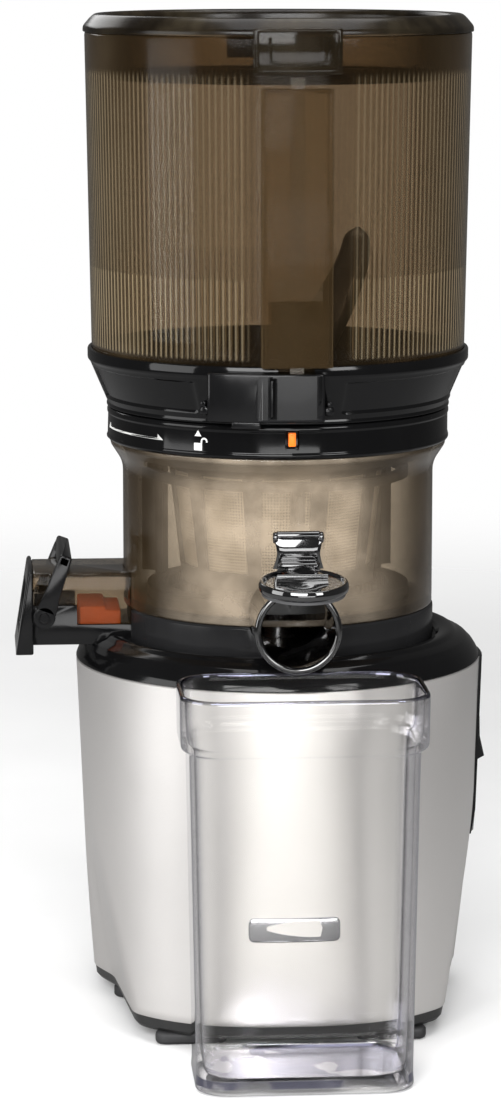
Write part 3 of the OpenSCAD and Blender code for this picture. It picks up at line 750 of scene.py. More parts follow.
def make_finishes(colours, flutes):
    """Makes every material once, by name."""
    gloss = tuple(colours.gloss)
    smoke = tuple(colours.smoke)
    orange = tuple(colours.orange)
    finishes.update(
        silver=silver_paint(tuple(colours.silver)),
        gloss=polished_black(gloss),
        trim=polished_black(tint(gloss, 1.4), "moulded_black", 0.14),
        cap=polished_black(tint(gloss, 0.8), "mirror_black", 0.03, 0.9),
        ring=polished_black((0.012, 0.012, 0.0125), "dark_grey_gloss", 0.18, 0.15),
        satin=satin_black(),
        strainer=satin_black("strainer_grey", 0.05, 0.4),
        auger=satin_black("auger_grey", 0.035, 0.3),
        hopper=smoke_plastic(
            "hopper_smoke",
            (0.65, 0.59, 0.515),
            smoke,
            dense=0.97,
            # the flute count also places painted highlights along the hopper's flutes
            flutes=flutes,
            shine=0.36,
            rough=0.11,
        ),
        bowl=smoke_plastic(
            "bowl_smoke",
            (0.83, 0.79, 0.73),
            smoke,
            thin=0.06,
            dense=0.94,
            shine=0.5,
            rough=0.1,
            # painted light: the bowl's pale film stands for its lit inside seen through the wall
            inner_light_paint=0.28,
            pale=(0.8, 0.66, 0.5),
        ),
        duct=smoke_plastic(
            "duct_smoke", (0.72, 0.66, 0.58), tint(smoke, 0.5), thin=0.12, dense=0.95
        ),
        channel=smoke_plastic(
            "channel_smoke", (0.77, 0.72, 0.65), tint(smoke, 2.6), thin=0.12, shine=0.1
        ),
        rod=smoke_plastic("rod_smoke", (0.8, 0.76, 0.7), smoke, thin=0.2),
        lid=smoke_plastic(
            "lid_smoke",
            (0.88, 0.84, 0.78),
            tint(smoke, 0.1),
            thin=0.06,
            dense=0.98,
            shine=0.15,
            rough=0.2,
            full=0.4475,
        ),
        tab=smoke_plastic(
            "tab_smoke", (0.42, 0.4, 0.37), tint(smoke, 0.35), thin=0.4, dense=0.95, shine=0.25
        ),
        jug=clear_plastic(tuple(colours.jug)),
        rubber=rubber(),
        silicone=rubber("grey_silicone", (0.06, 0.06, 0.062), 0.5),
        orange=rubber("orange_silicone", orange, 0.42),
        indicator=polished_black(orange, "indicator_orange", 0.2),
        steel=metal("ground_steel", (0.62, 0.62, 0.63)),
        gear=metal("gear_steel", (0.55, 0.48, 0.36), 0.34),
        cast=metal("cast_alloy", (0.55, 0.55, 0.56), 0.5, (1, 1, 1), 220.0),
        badge=metal("badge_metal", (0.5, 0.5, 0.52), 0.16, (12, 1, 1)),
        laminate=laminated_steel(),
        board=circuit_board(),
        mesh=perforated_steel(),
        acetal=satin_black("acetal_white", 0.7, 0.45),
        ink=printed_mark(),
    )


CAD_FINISH = {
    "base_screws": "steel",
    "switch_housing": "satin",
    "control_board": "board",
    "motor_mounts": "rubber",
    "motor_end_caps": "cast",
    "motor_stator": "laminate",
    "motor_rotor": "steel",
    "motor_bearings": "steel",
    "cooling_fan": "satin",
    "motor_pinion": "gear",
    "gearbox_case": "cast",
    "gearbox_lid": "cast",
    "idler_gear": "gear",
    "idler_pin": "steel",
    "output_gear": "gear",
    "output_shaft": "steel",
    "output_bearing": "steel",
    "drive_seal": "rubber",
    "bowl_seal": "silicone",
    "cap_seal": "silicone",
    "cap_pin": "steel",
    "pulp_lever_pins": "gloss",
    "strainer_frame": "strainer",
    "strainer_mesh": "mesh",
    "brush_frame": "satin",
    "brush_wipers": "silicone",
    "brush_pinion": "acetal",
    "interlock_rod": "rod",
    "rod_spring": "steel",
    "lid_hinge_pin": "steel",
}


# ---------- the base ----------

BASE_LOW, BASE_TOP = 11.0, 162.0
BASE_R_LOW, BASE_R_TOP, BASE_LEAN = 87.0, 93.0, 9.0
# the planes that scoop the base's sides: distance from the drive axis at the bottom edge, degrees
# that each faces forwards of sideways, and how fast they lean outwards
SCOOP, SCOOP_TURN = 77.4, 6
SCOOP_END, SCOOP_END_TURN = 74.0, 23
SCOOP_RISE = math.tan(math.radians(9.5))
# the height of the spout's middle, and the place of the cord gland
SPOUT_Z = 193.0
GLAND = (20, 0, 40)


def plane_reach(side, front, turn, distance):
    """Radius at which rays from the drive axis meet an upright plane: the plane's distance over
    the part of each ray that is along the plane's facing direction."""
    least, far = 0.05, 1e3
    along = side * math.cos(math.radians(turn)) + front * math.sin(math.radians(turn))
    return np.where(along > least, distance / np.maximum(along, least), far)


def base_radius(angle, z, corner):
    """Radius of the base round the drive axis, angle 0 at the front. It is an oval that grows
    and straightens from the bottom edge to a circle at the top edge. On each side a leaning
    plane scoops it, up to a second plane that ends the scoop behind."""
    t = np.clip((z - BASE_LOW) / (BASE_TOP - BASE_LOW), 0, 1)
    size = BASE_R_LOW + t * (BASE_R_TOP - BASE_R_LOW)
    lean = BASE_LEAN * (1 - t)
    power = 2 + corner * (1 - t) ** 1.5
    a = np.radians(angle)
    side, front = np.abs(np.sin(a)), np.cos(a)
    # the point on a ray from the drive axis that lies on the oval centred at y = -lean
    reach = size + lean * front
    for _ in range(6):
        x, y = reach * side, np.abs(reach * front - lean)
        level = ((x / size) ** power + (y / size) ** power) ** (1 / power)
        reach = reach / level
    rise = (z - BASE_LOW) * SCOOP_RISE
    scoop = plane_reach(side, front, SCOOP_TURN, SCOOP + rise)
    scoop_end = plane_reach(side, front, SCOOP_END_TURN, SCOOP_END + rise)
    farther = -smooth_min(-scoop, -scoop_end, 1.5)
    return smooth_min(reach, farther, 0.8 + 2.2 * (1 - t))


def base_wall(z_levels, shrink, corner):
    """Rows of points round the base at the given heights, shrunk by a distance, with a point at
    every degree."""
    a = np.linspace(0, 360, 360, endpoint=False)[None, :]
    z = np.asarray(z_levels, float)[:, None]
    r = base_radius(a, z, corner) - np.reshape(shrink, (-1, 1))
    rad = np.radians(a)
    return np.stack([r * np.sin(rad), -r * np.cos(rad), z + 0 * rad], -1)


def make_base_shell(sizes):
    """Silver shell: outer wall, rolled bottom edge and inner wall, closed into one skin."""
    rows, wall, crease = 56, 2.5, 22
    up = np.linspace(BASE_LOW + 0.9, BASE_TOP - 0.4, rows)
    down = up[::-8]
    levels = [BASE_LOW, BASE_LOW + 0.25, *up, BASE_TOP, BASE_TOP, *down, BASE_LOW]
    shrink = [0.9, 0.25, *[0.0] * rows, 0.4, wall, *[wall] * len(down), wall - 0.2]
    grid = base_wall(levels, shrink, sizes.corner)
    shell = mesh_object("base_shell_skin", [skin(grid, wrap_rows=True)], crease)
    switch_hole = block((70, -8, 106.5), (120, 8, 135.5), 0.2, 0.5)
    gland_hole = placed(round_bar(6.0, 60, 120), TURN_X.T, GLAND)
    return cut_away(shell, [switch_hole, gland_hole], crease)


def round_bar(radius, low, high, edge=0.3, sides=48):
    """A bar along z with rounded rims."""
    a = np.linspace(0, 2 * math.pi, sides, endpoint=False)
    return prism(np.column_stack([radius * np.cos(a), radius * np.sin(a)]), low, high, edge)


def eye(bore, radius, length):
    """A short round barrel along z with a hole through it and rounded rims."""
    h = length / 2
    corners = [(bore, -h), (radius, -h), (radius, h), (bore, h)]
    return lathe(softened(corners, [0.1, 0.5, 0.5, 0.1]), 48)


def make_bottom_plate(sizes):
    """Black underside: follows the shell's outline, with a chamfered lower rim and vent slots."""
    levels = [5.0, 5.4, 7.0, 11.0, 11.0]
    wall = base_wall(levels, [3.0, 2.2, 0.9, 0.6, 2.7], sizes.corner)
    plate = mesh_object("bottom_plate_skin", [skin(wall, caps=True)], 25)
    slots = [block((i * 9 - 2, -26, 0), (i * 9 + 2, 26, 20), 0.2, 1.9) for i in range(-3, 4)]
    return cut_away(plate, slots, 25)


def make_feet():
    """Two long rounded feet in front and four round ones, all with soft rims."""
    feet = []
    for side in (-1, 1):
        low, high = sorted((side * 29.0, side * 61.0))
        feet.append(block((low, -82, 0), (high, -72, 5.2), 1.6, 4.8))
        feet.append(placed(round_bar(5.5, 0, 5.2, 1.2), shift=(side * 71, -1, 0)))
        feet.append(placed(round_bar(8.0, 0, 5.2, 1.5), shift=(side * 48, 50, 0)))
    return mesh_object("feet_skin", feet)


def make_top_cover():
    """Glossy black deck. Its height falls from a raised round ridge to the shell's edge, and is
    cut down along the spout's cradle and under the pulp duct."""
    r = np.concatenate(
        [
            np.linspace(8, 72.4, 6),
            [72.9, 73.0, 73.1, 73.6, 74.6, 76.2, 78, 80, 81.2, 82.2, 83.2, 84.4],
            np.linspace(86, 92.2, 14),
            [92.7, 93.0, 93.0, 92.6],
        ]
    )
    z = np.interp(
        r,
        [8, 72.9, 73.1, 74.6, 78, 80, 81.2, 82.2, 83.2, 84.4, 87, 90, 92, 93],
        [170, 170, 172.2, 174, 175, 175, 174.6, 173.6, 173.1, 172.7, 171.4, 168.4, 165.2, 162.6],
    )
    z[-2:] = [162.4, 162.0]
    a = np.radians(np.linspace(0, 360, 288, endpoint=False))[None, :]
    grid_r = r[:, None] + 0 * a
    x, y = grid_r * np.sin(a), -grid_r * np.cos(a)
    top = z[:, None] + 0 * a
    cradle_r, cradle_floor, duct_half, duct_floor = 19.6, 168, 20.6, 170.5
    cradle = np.maximum(SPOUT_Z - np.sqrt(np.maximum(cradle_r**2 - x**2, 0.0)), cradle_floor)
    top = np.where((np.abs(x) < cradle_r) & (y < -40), np.minimum(top, cradle), top)
    top = np.where((np.abs(y) < duct_half) & (x < -60), np.minimum(top, duct_floor), top)
    under_r = r[::-3, None] - 0.8
    under = np.stack([under_r * np.sin(a), -under_r * np.cos(a)], -1)
    low = np.interp(r[::-3], [7, 84, 92, 93], [167, 158, 158, 161.8])
    low = low[:, None, None] + 0 * under[..., :1]
    grid = np.concatenate([np.stack([x, y, top], -1), np.concatenate([under, low], -1)])
    return mesh_object("top_cover_skin", [skin(grid, wrap_rows=True)], 28)


def make_badge(sizes):
    """A plain polished plate with rounded corners, bent to the front of the base."""
    outline = resampled(softened(rectangle((-20, 50), (20, 61)), 3.0), 2.0)
    sunk, front_r = 1.5, 92.0
    points, faces = placed(prism(outline, 0, 2.4, 0.7), TURN_X)
    a = np.arctan2(points[:, 0], front_r)
    out = base_radius(np.degrees(a), points[:, 2], sizes.corner) - sunk - points[:, 1]
    points = np.column_stack([out * np.sin(a), -out * np.cos(a), points[:, 2]])
    return mesh_object("badge_plate_skin", [(points, faces)])


def make_gland():
    """Cord gland: a flange and a sleeve with ribs, bored for a cord. The ribs are a wave in the
    sleeve's radius."""
    z = np.linspace(83.6, 98.2, 60)
    ribs = 5.5 - 0.05 * (z - 83.6) - 0.55 * smooth_step(0.2, 0.7, np.sin(z * 2.1) * 0.5 + 0.5)
    inner = [(3.0, 68), (5.6, 68), (5.9, 68.4), (5.9, 79.6)]
    flange = [(8.0, 80.2), (8.2, 80.8), (8.0, 82.6), (7.2, 83.2)]
    end = [(4.2, 98.9), (3.4, 99.0), (3.0, 98.6)]
    gland = placed(lathe([*inner, *flange, *zip(ribs, z), *end], 64), TURN_X.T, GLAND)
    return mesh_object("cord_gland_skin", [gland], 40)


# ---------- the bowl ----------


def make_bowl():
    """Smoke bowl: one closed wall with a stepped flare under its locking ring, a floor, and
    openings to the spout and to the pulp duct."""
    profile = softened(
        [
            (10, 187), (71, 187), (71, 252.4), (76.6, 261), (76.6, 263), (73.6, 263), (68.5, 255),
            (68.5, 190), (10, 190),
        ],
        [0.3, 1.2, 4.0, 1.6, 0.6, 0.6, 4.0, 2.0, 0.3],
    )
    bowl = mesh_object("bowl_skin", [lathe(profile, 256)], 40)
    passage_r, floor = 15.6, 190.2
    a = np.radians(np.linspace(0, 360, 48, endpoint=False))
    x, z = passage_r * np.cos(a), SPOUT_Z + passage_r * np.sin(a)
    passage = np.column_stack([x, np.maximum(z, floor)])
    spout = placed(prism(passage, 50, 90, 0.1), TURN_X)
    duct = block((-90, -14, floor), (-60, 14, 201), 0.2, 0.5)
    return cut_away(bowl, [spout, duct], 40)


def make_locking_ring():
    """Black ring: crisp upper and lower beads, a shallow groove, eight grip lugs low on its rim,
    and a slot at the front."""
    profile = softened(
        [
            (72.2, 263), (77.2, 263), (78, 264), (78, 265.2), (77.6, 265.8), (77.6, 275),
            (78, 275.6), (78, 277), (77.4, 278), (72.2, 278),
        ],
        0.45,
    )

    def lugs(angle, radius, height):
        """A low bump at every eighth of a turn, on the lower part of the rim."""
        near = np.abs((angle + 22.5) % 45 - 22.5)
        low = smooth_step(270.5, 269.5, height) * smooth_step(76, 77.4, radius)
        return 0.25 * smooth_step(2.2, 1.4, near) * low

    ring = mesh_object("locking_ring_skin", [lathe(profile, 360, lugs)], 30)
    return cut_away(ring, [block((-3, -80, 268), (3, -74, 276), 0.1, 0.4)], 30)


def arrow_outline(length, width, head):
    """Outline of a slim line with half a barb at each end, both on its upper side."""
    h = length / 2
    return [
        (-h, 0), (h, 0), (h - head, head * 0.72), (h - head * 1.05, width),
        (-h + head * 0.9, width), (-h + head * 0.6, head * 0.72),
    ]


def make_marks():
    """Plain direction marks on the ring: a long arrow, and an open padlock with a small
    triangle over it, each a thin raised film bent to the ring."""
    film = {"low": 0, "high": 0.15, "edge": 0.03, "steps": 2}
    ring_r, arrow_turn, lock_turn, lock_z = 77.65, -64.5, -31.5, 266.2
    arrow = prism(resampled(arrow_outline(52, 0.85, 3.4), 1.0), **film)
    triangle = prism(resampled([(-1.7, 0), (1.7, 0), (0, 2.6)], 0.6), **film)
    lock = prism(softened(rectangle((-2.0, 0), (2.0, 3.3)), 0.3), **film)
    bow = np.radians(np.linspace(-10, 190, 16))
    shackle = np.column_stack([3.0 + 1.3 * np.cos(bow), 0 * bow, 4.0 + 1.4 * np.sin(bow)])
    shackle = np.vstack([shackle, [(1.7, 0, 2.8)]])
    shackle = tube(shackle, 0.38, 8, up=(0, 1, 0), flat=0.5)
    marks = [
        bent(placed(arrow, SWAP_YZ, (0, 0, 269.2)), ring_r, arrow_turn),
        bent(placed(triangle, SWAP_YZ, (0, 0, 272.5)), ring_r, lock_turn),
        bent(placed(lock, SWAP_YZ, (0, 0, lock_z)), ring_r, lock_turn),
        bent(placed(shackle, None, (0, 0.1, lock_z)), ring_r, lock_turn),
    ]
    return mesh_object("lock_marks", marks)


def make_indicator():
    """Orange-red pointer that stands in the ring's slot, with a raised face."""
    body = block((-1.65, -78.3, 269), (1.65, -74.0, 275), 0.35, 0.6)
    face = block((-1.0, -78.6, 269.9), (1.0, -77.6, 274.1), 0.3, 0.4)
    return mesh_object("lock_indicator_skin", [body, face])


# the spout's mouth and the cap's hinge pin lie this far in front of the drive axis, and the cap
# is held open at this turn in degrees
REACH = 112.0
CAP_HINGE = np.array([0.0, -REACH, 216.0])
CAP_OPEN = -84.0


def make_spout():
    """Juice spout: a thick tube with a rolled mouth and a collar against the bowl, and two ears
    that carry the cap's pin."""
    profile = softened(
        [
            (16, 66.5), (18.6, 66.5), (18.6, REACH - 4), (19, REACH - 3.4), (19, REACH - 0.8),
            (18.2, REACH), (16.8, REACH), (16, REACH - 0.8),
        ],
        [0.2, 0.2, 0.6, 0.5, 0.7, 0.7, 0.7, 0.7],
        6,
    )
    pipe = placed(lathe(profile, 96), TURN_X, (0, 0, SPOUT_Z))
    ear_r, thick, apart = 3.2, 3.5, 7.25
    a = np.radians(np.linspace(-20, 268, 28))
    rounded = np.column_stack([ear_r * np.cos(a), CAP_HINGE[2] + ear_r * np.sin(a)])
    outline = np.vstack([rounded, [(0.2, 208.8), (12, 208.5), (9, 211.5), (3.4, 214.4)]])
    outline[:, 0] -= REACH
    ear = prism(outline[::-1], 0, thick, 0.5)
    ears = [placed(ear, CYCLE, (side * apart - thick / 2, 0, 0)) for side in (-1, 1)]
    spout = mesh_object("juice_spout_skin", [pipe, *ears], 40)
    cutter = lathe([(0.001, 187.0), (71.02, 187.0), (71.02, 260.0), (0.001, 260.0)], 180)
    return cut_away(spout, [cutter], 40, True)


def held_open(surface):
    """Turns what is drawn with the cap closed, its hinge straight over the origin, to the pose
    in which the cap is held open, and moves it to the spout's mouth."""
    points, faces = surface
    turned = (points - (0, 0, CAP_HINGE[2])) @ about_x(CAP_OPEN).T + CAP_HINGE
    return turned, faces


def make_cap():
    """Juice cap, drawn closed with its hinge over the origin and turned open: a dished disc with
    a rolled rim, a waisted neck to its hinge barrel, and a thumb tab whose end is rolled over
    between two bumps."""
    disc = lathe(
        softened(
            [
                (0.01, 1.6), (18.4, 1.6), (19.2, 2.4), (19.4, 4.4), (18.6, 6.3), (17.4, 6.3),
                (16.4, 4.9), (0.01, 4.5),
            ],
            [0.01, 0.5, 0.8, 1.2, 0.8, 0.8, 1.5, 0.01],
            6,
        ),
        96,
    )
    disc = placed(disc, TURN_X, (0, 0, SPOUT_Z))
    neck_z = np.linspace(198, 217.5, 16)
    waist_z = 209
    waist = 6.2 + 3.4 * np.abs((neck_z - waist_z) / 9) ** 1.6
    right, left = np.column_stack([waist, neck_z]), np.column_stack([-waist, neck_z])
    neck = placed(prism(np.vstack([right, left[::-1]]), 3.4, 7.3, 1.2), TURN_X)
    barrel = placed(eye(1.55, 3.0, 10.0), TURN_Y, (0, 0, CAP_HINGE[2]))
    length = np.linspace(0, 1, 24)
    # the tab's half width narrows in its middle and opens again at its end
    half = 9.3 + 1.7 * np.abs(2 * length - 1) ** 1.5
    tab_y = -4.0 - 14.0 * length
    lift = 219.6 - 0.88 * np.sin(length * math.pi) + 1.6 * length**4
    across, up = softened(rectangle((-1, -1.25), (1, 1.25)), 0.35, 4).T
    x = half[:, None] * across
    y = tab_y[:, None] + 0 * across
    z = lift[:, None] + up + 0.5 * across**2
    tab = skin(np.stack([x, y, z], -1), caps=True)
    roll = placed(round_bar(1.9, -9.6, 9.6, 0.8), TURN_Y, (0, -18.2, 221.6))
    bump = round_bar(2.5, -1.1, 1.1, 0.9)
    bumps = [placed(bump, TURN_Y, (side * 9.9, -17.4, 221.2)) for side in (-1, 1)]
    root = block((-8.6, -8.4, 211.5), (8.6, -3.4, 220.4), 1.4, 1.8)
    web = block((-5, -4.6, 213.2), (5, -2.4, 218.6), 0.4, 1.8)
    pieces = [disc, neck, barrel, tab, roll, root, web, *bumps]
    return mesh_object("juice_cap_skin", [held_open(s) for s in pieces], 42)


def make_auger():
    """Auger: a core that narrows upwards with a flight wound round it. The radius is the core's
    plus a flat-topped pulse of angle minus height over pitch. Below it come a hub, a pinion
    whose radius follows its teeth, and a six-sided bore."""
    flight_low, flight_r, height, turns = 202, 39.6, 56.0, 2.25
    thick, mean_r, slope = 2.5, 30, 3.2  # the flight's slope spreads half its thickness this much
    full_turn = 2 * math.pi
    a = np.radians(np.linspace(0, 360, 240, endpoint=False))
    low = np.array([214, 214, 191, 191, 196, 196, 201.5, 201.5])
    z = np.concatenate([low, np.linspace(201.6, 258, 110), [262, 263.4, 264, 264]])[:, None]
    core = np.interp(z, [201.5, 204, 210, 240, 264], [36, 35, 28, 18, 14])
    phase = (a / full_turn - (z - flight_low) / height * turns) % 1
    width = thick / (full_turn * mean_r) * slope
    blade = smooth_step(width + 0.02, width, np.minimum(phase, 1 - phase))
    ends = smooth_step(flight_low, 204, z) * smooth_step(259, 255, z)
    r = core + (flight_r - core) * blade * ends
    # a hexagon's radius is its flats' distance over the cosine of the angle from the nearest flat
    sixth = math.pi / 6
    hexagon = 6.8 * math.cos(sixth) / np.cos((a % (2 * sixth)) - sixth)
    teeth = gear_outline(24, 1.0)
    turn = np.arctan2(teeth[:, 1], teeth[:, 0]) % full_turn
    order = np.argsort(turn)
    reach = np.linalg.norm(teeth, axis=1)
    pinion = np.interp(a, turn[order], reach[order], period=full_turn)
    r[0] = r[-1] = 0
    r[1] = r[2] = hexagon
    r[3] = r[4] = pinion
    r[5] = r[6] = 10
    grid = np.stack([r * np.cos(a), r * np.sin(a), z + 0 * a], -1)
    return mesh_object("auger_skin", [skin(grid)], 38)


def gear_outline(teeth, size):
    """Four points a tooth round the pitch circle, whose radius is half the teeth times their
    size, with a tooth on +X."""
    tip, root = 0.85, -1.2
    i = np.repeat(np.arange(teeth), 4)
    share = np.tile([-0.28, -0.12, 0.12, 0.28], teeth)
    height = np.tile([root, tip, tip, root], teeth)
    a = 2 * math.pi * (i + share) / teeth
    r = size * teeth / 2 + size * height
    return np.column_stack([r * np.cos(a), r * np.sin(a)])


def make_wing():
    """Cutting wing: a flattened blade carried along a spine that climbs, leans out and curls
    round the hopper, thick at its root and thin at its tip."""
    count = 60
    spine = [(0, 0, 268), (6, 0, 285), (15, 1, 304), (26, 5, 323), (35, 11, 341), (38.5, 18, 357)]
    share = np.linspace(0, 1, count)
    size = 11.5 - 6.0 * share + 1.5 * np.sin(share * math.pi)
    size[-4:] *= [0.95, 0.8, 0.55, 0.2]
    blade = tube(curve_through(spine, count), size, 28, up=(0.2, 1, 0), flat=0.55)
    hub = round_bar(14, 264, 272, 1.5, 64)
    return mesh_object("cutting_wing_skin", [blade, hub], 40)


# ---------- the hopper and the lid ----------


HOPPER_FOOT, HOPPER_RIM, HOPPER_WALL = 301.0, 446.0, 2.4


def hopper_outer(z):
    """Outer radius of the hopper's wall, which grows evenly with height."""
    low_r, high_r, low, rise = 84.9, 87.3, 305, 142
    return low_r + (high_r - low_r) * (z - low) / rise


def make_hopper(sizes):
    """Smoke hopper: a tapered tub with fine upright flutes on its inner face. The inner radius
    is the wall's minus a cosine of angle times the number of flutes, deeper in a low band and
    faded out by the rod channel and by the rim."""
    band_z = np.linspace(307, 341, 8)
    wall_z = np.linspace(350, 430, 9)
    inner_z = [301.4, 304, 306, *band_z, FLUTE_STEP, 344, *wall_z, 434, HOPPER_RIM]
    outer_z = np.linspace(445.4, 301.4, 12)
    inner = [(hopper_outer(z) - HOPPER_WALL, z) for z in inner_z]
    half = HOPPER_WALL / 2
    middle = hopper_outer(HOPPER_RIM) - half
    turns = np.linspace(0, math.pi, 7)[1:-1]
    rim = [(middle - half * math.cos(t), HOPPER_RIM + math.sin(t)) for t in turns]
    outer = [(hopper_outer(z), z) for z in outer_z]
    foot = [(hopper_outer(HOPPER_FOOT) - step, HOPPER_FOOT) for step in (0.4, 2.0)]
    depth = sizes.flute_depth / MM
    count = sizes.flutes

    def flutes(angle, radius, height):
        """Minus the depth times a raised cosine on the inner face, and nothing outside."""
        inside = radius < hopper_outer(height) - 2.0
        turn = (angle + 180) % 360 - 180
        beside = smooth_step(14, 17, np.abs(turn - 2))
        low = 1 + 0.9 * smooth_step(FLUTE_STEP + 1, FLUTE_STEP, height)
        above_foot = smooth_step(FLUTE_FOOT - 2, FLUTE_FOOT, height)
        below_rim = smooth_step(FLUTE_TOP + 4, FLUTE_TOP, height)
        wave = 0.5 + 0.5 * np.cos(np.radians(angle) * count)
        return np.where(inside, -depth * wave * low * beside * (above_foot * below_rim), 0.0)

    return mesh_object("hopper_skin", [lathe(inner + rim + outer + foot, count * 4, flutes)], 60)


def make_channel():
    """Rod channel: a U-shaped cover with rounded front corners, closed at the top but for the
    rod's slot, standing on the hopper's front."""
    outer = [(-14.5, 86.4), (-14.5, 93.5), (16.5, 93.5), (16.5, 86.4)]
    inner = [(14.6, 86.7), (14.6, 91.6), (-12.6, 91.6), (-12.6, 86.6)]
    section = softened(outer + inner, [0.3, 2.2, 2.2, 0.3, 0.3, 1.2, 1.2, 0.3], 6)
    section = section * [1, -1]
    wall = prism(section, 305.2, 425, 0.35)
    tops = [
        block((-13.5, -92.2, 423.2), (-3.6, -87.4, 424.8), 0.2, 0.4),
        block((5.6, -92.2, 423.2), (15.5, -87.4, 424.8), 0.2, 0.4),
    ]
    foot = block((-11.8, -91.4, 305.6), (13.8, -91.0, 334), 0.1, 0.1)
    return mesh_object("rod_channel_skin", [wall, *tops, foot], 30)


def make_hopper_base():
    """Hopper base: a glossy collar with a lip, an undercut cone with four shallow panels pressed
    into it, a bead below, a bayonet spigot, and a funnel inside."""
    low_r, high_r, low, rise = 77.7, 85.8, 280, 19
    cone_z = np.linspace(280.4, 299, 26)
    cone = list(zip(low_r + (high_r - low_r) * (cone_z - low) / rise, cone_z))
    bead = [(71.7, 267), (71.7, 278.2), (77.2, 278.2), (78.2, 278.8), (78.2, 279.8)]
    bead = softened(bead, 0.25, 3)[3:]
    lip = [
        (86.3, 299.5), (86.7, 300.1), (86.8, 300.8), (86.8, 304.2), (86.5, 304.8), (85.8, 305),
        (85.1, 305),
    ]
    inside = [(84.95, 304.6), (84.95, 301.2), (84.6, 301), (81.4, 301), (80.6, 300.6)]
    funnel = [
        (65, 292.2), (52, 285.0), (50.3, 284.1), (50, 283.6), (50, 282), (50.4, 281.5), (69, 281.5),
        (69.5, 281.1),
    ]
    foot = [(69.5, 267.5), (70, 267), (71.2, 267), (71.7, 267.5)]

    def panels(angle, radius, height):
        """Minus the panels' depth where one in front or behind is pressed in."""
        turn = (angle + 180) % 360 - 180
        front = smooth_step(-30, -31.4, turn) * smooth_step(-86, -84.6, turn)
        front = front + smooth_step(15.5, 17, turn) * smooth_step(86, 84.6, turn)
        back = smooth_step(95, 96.5, np.abs(turn)) * smooth_step(170, 168.5, np.abs(turn))
        tall = smooth_step(283, 283.8, height) * smooth_step(297.6, 296.8, height) * (radius > 76)
        return -1.2 * (front + back) * tall

    surface = lathe([*bead, *cone, *lip, *inside, *funnel, *foot], 400, panels)
    base = mesh_object("hopper_base_skin", [surface], 30)
    return cut_away(base, [block((-7, -90, 279.5), (9, -83, 306), 0.1, 0.3)], 30)


def make_front_block():
    """Interlock housing on the hopper base: a bent block with a stepped face, a shallow rib down
    its front, and a small round clip at each lower corner."""
    body_r, clip_r, facing, spacing = 86.0, 83.0, -8.0, 2.0
    body = block((-24.5, -6, 281.2), (24.5, 6.4, 302.6), 0.9, 1.6, spacing)
    step = block((-3.0, 4, 282.6), (23.6, 7.3, 301.4), 0.7, 0.8, spacing)
    rib = block((2.2, 6, 284), (3.2, 7.8, 300), 0.35, 0.4, spacing)
    tab = block((-14, 3, 278.4), (-2, 6.0, 281.6), 0.6, 0.8, spacing)
    pieces = [bent(s, body_r, facing) for s in (body, step, rib, tab)]
    outwards = TURN_X @ FLIP_Z
    for x in (-26.2, 26.2):
        knob = placed(round_bar(2.3, -2, 5.5, 1.2), outwards, (x, 0, 285.5))
        stem = placed(round_bar(1.2, -2, 6.6, 0.4), outwards, (x, 0, 288.6))
        pieces += [bent(knob, clip_r, facing), bent(stem, clip_r, facing)]
    block_piece = mesh_object("front_block_skin", pieces, 35)
    pocket = block((-7, -91.8, 288), (9, -83, 310), 0.1, 0.3)
    return cut_away(block_piece, [pocket], 35, True)


def make_lid():
    """Lid: a deep smoke dish whose wall turns over into a rounded rim and a flat lip, with the
    hinge lug behind."""
    profile = softened(
        [
            (0.01, 426), (78.5, 426), (80.5, 447), (88, 447), (88, 449.4), (84.6, 453.4),
            (82.6, 455), (80.2, 455), (78.6, 453.4), (76.2, 428.5), (0.01, 428.5),
        ],
        [0.01, 3.0, 1.2, 0.5, 1.2, 1.8, 1.2, 1.2, 1.6, 3.0, 0.01],
    )
    dish = lathe(profile, 240)
    barrel = placed(eye(2.05, 4.5, 16.0), TURN_Y, (0, 94, 446))
    web = block((-8, 86.0, 447.2), (8, 91.6, 450.0), 0.6, 0.6)
    return mesh_object("lid_skin", [dish, barrel, web], 40)


def make_lid_tab():
    """Lid latch: a bent plate with rounded corners, a raised frame round its face and a plain
    U-shaped rib on it."""
    radius, facing, spacing, up = 88.0, 0.65, 2.0, (0, 1, 0)
    plate = block((-18.5, 0.1, 431), (18.5, 5.6, 451), 1.0, 1.4, spacing)
    rim = resampled(softened(rectangle((-16.4, 432.6), (16.4, 449.6)), 2.0), spacing)
    rim = np.column_stack([rim[:, 0], np.full(len(rim), 5.7), rim[:, 1]])
    bow = [(-11.5, 447), (-11.2, 438.6), (-9, 436.2), (9, 436.2), (11.2, 438.6), (11.5, 447)]
    bow = curve_through([(x, 5.8, z) for x, z in bow], 60)
    surfaces = [plate, tube(rim, 0.55, 10, up, closed=True), tube(bow, 0.7, 10, up)]
    pieces = [bent(s, radius, facing) for s in surfaces]
    return mesh_object("lid_tab_skin", pieces, 35)


# ---------- the pulp outlet ----------


def make_pulp_lever():
    """Pulp lever: two flat arms with round eyes and a grip bar between them, rounded all over,
    leaning 20 degrees towards the bowl."""
    pivot, lean = (-108, 0, 185), 20
    taper = [(4.6, 2.4), (3.6, 12), (3.0, 26), (2.2, 29.4)]
    outline = [(-4.6, 2.4), *taper, *[(-x, z) for x, z in taper[:0:-1]]]
    arm = prism(np.array(outline), -1.5, 1.5, 0.5)
    pieces = []
    for y in (-26.5, 26.5):
        pieces.append(placed(eye(2.05, 5.0, 3.0), TURN_X, (0, y, 0)))
        pieces.append(placed(arm, SWAP_YZ, (0, y, 0)))
    bar = block((-2.9, -28, -27.4), (2.9, 28, -22), 1.2, 1.2)
    pieces.append(placed(bar, FLIP_Z, (0, 0, 2.4)))
    turn = np.array(Matrix.Rotation(math.radians(lean), 3, "Y"))
    return mesh_object("pulp_lever_skin", [placed(s, turn, pivot) for s in pieces], 40)


# ---------- the jug ----------


CORNER_POINTS = 16
JUG_Y = -131.0


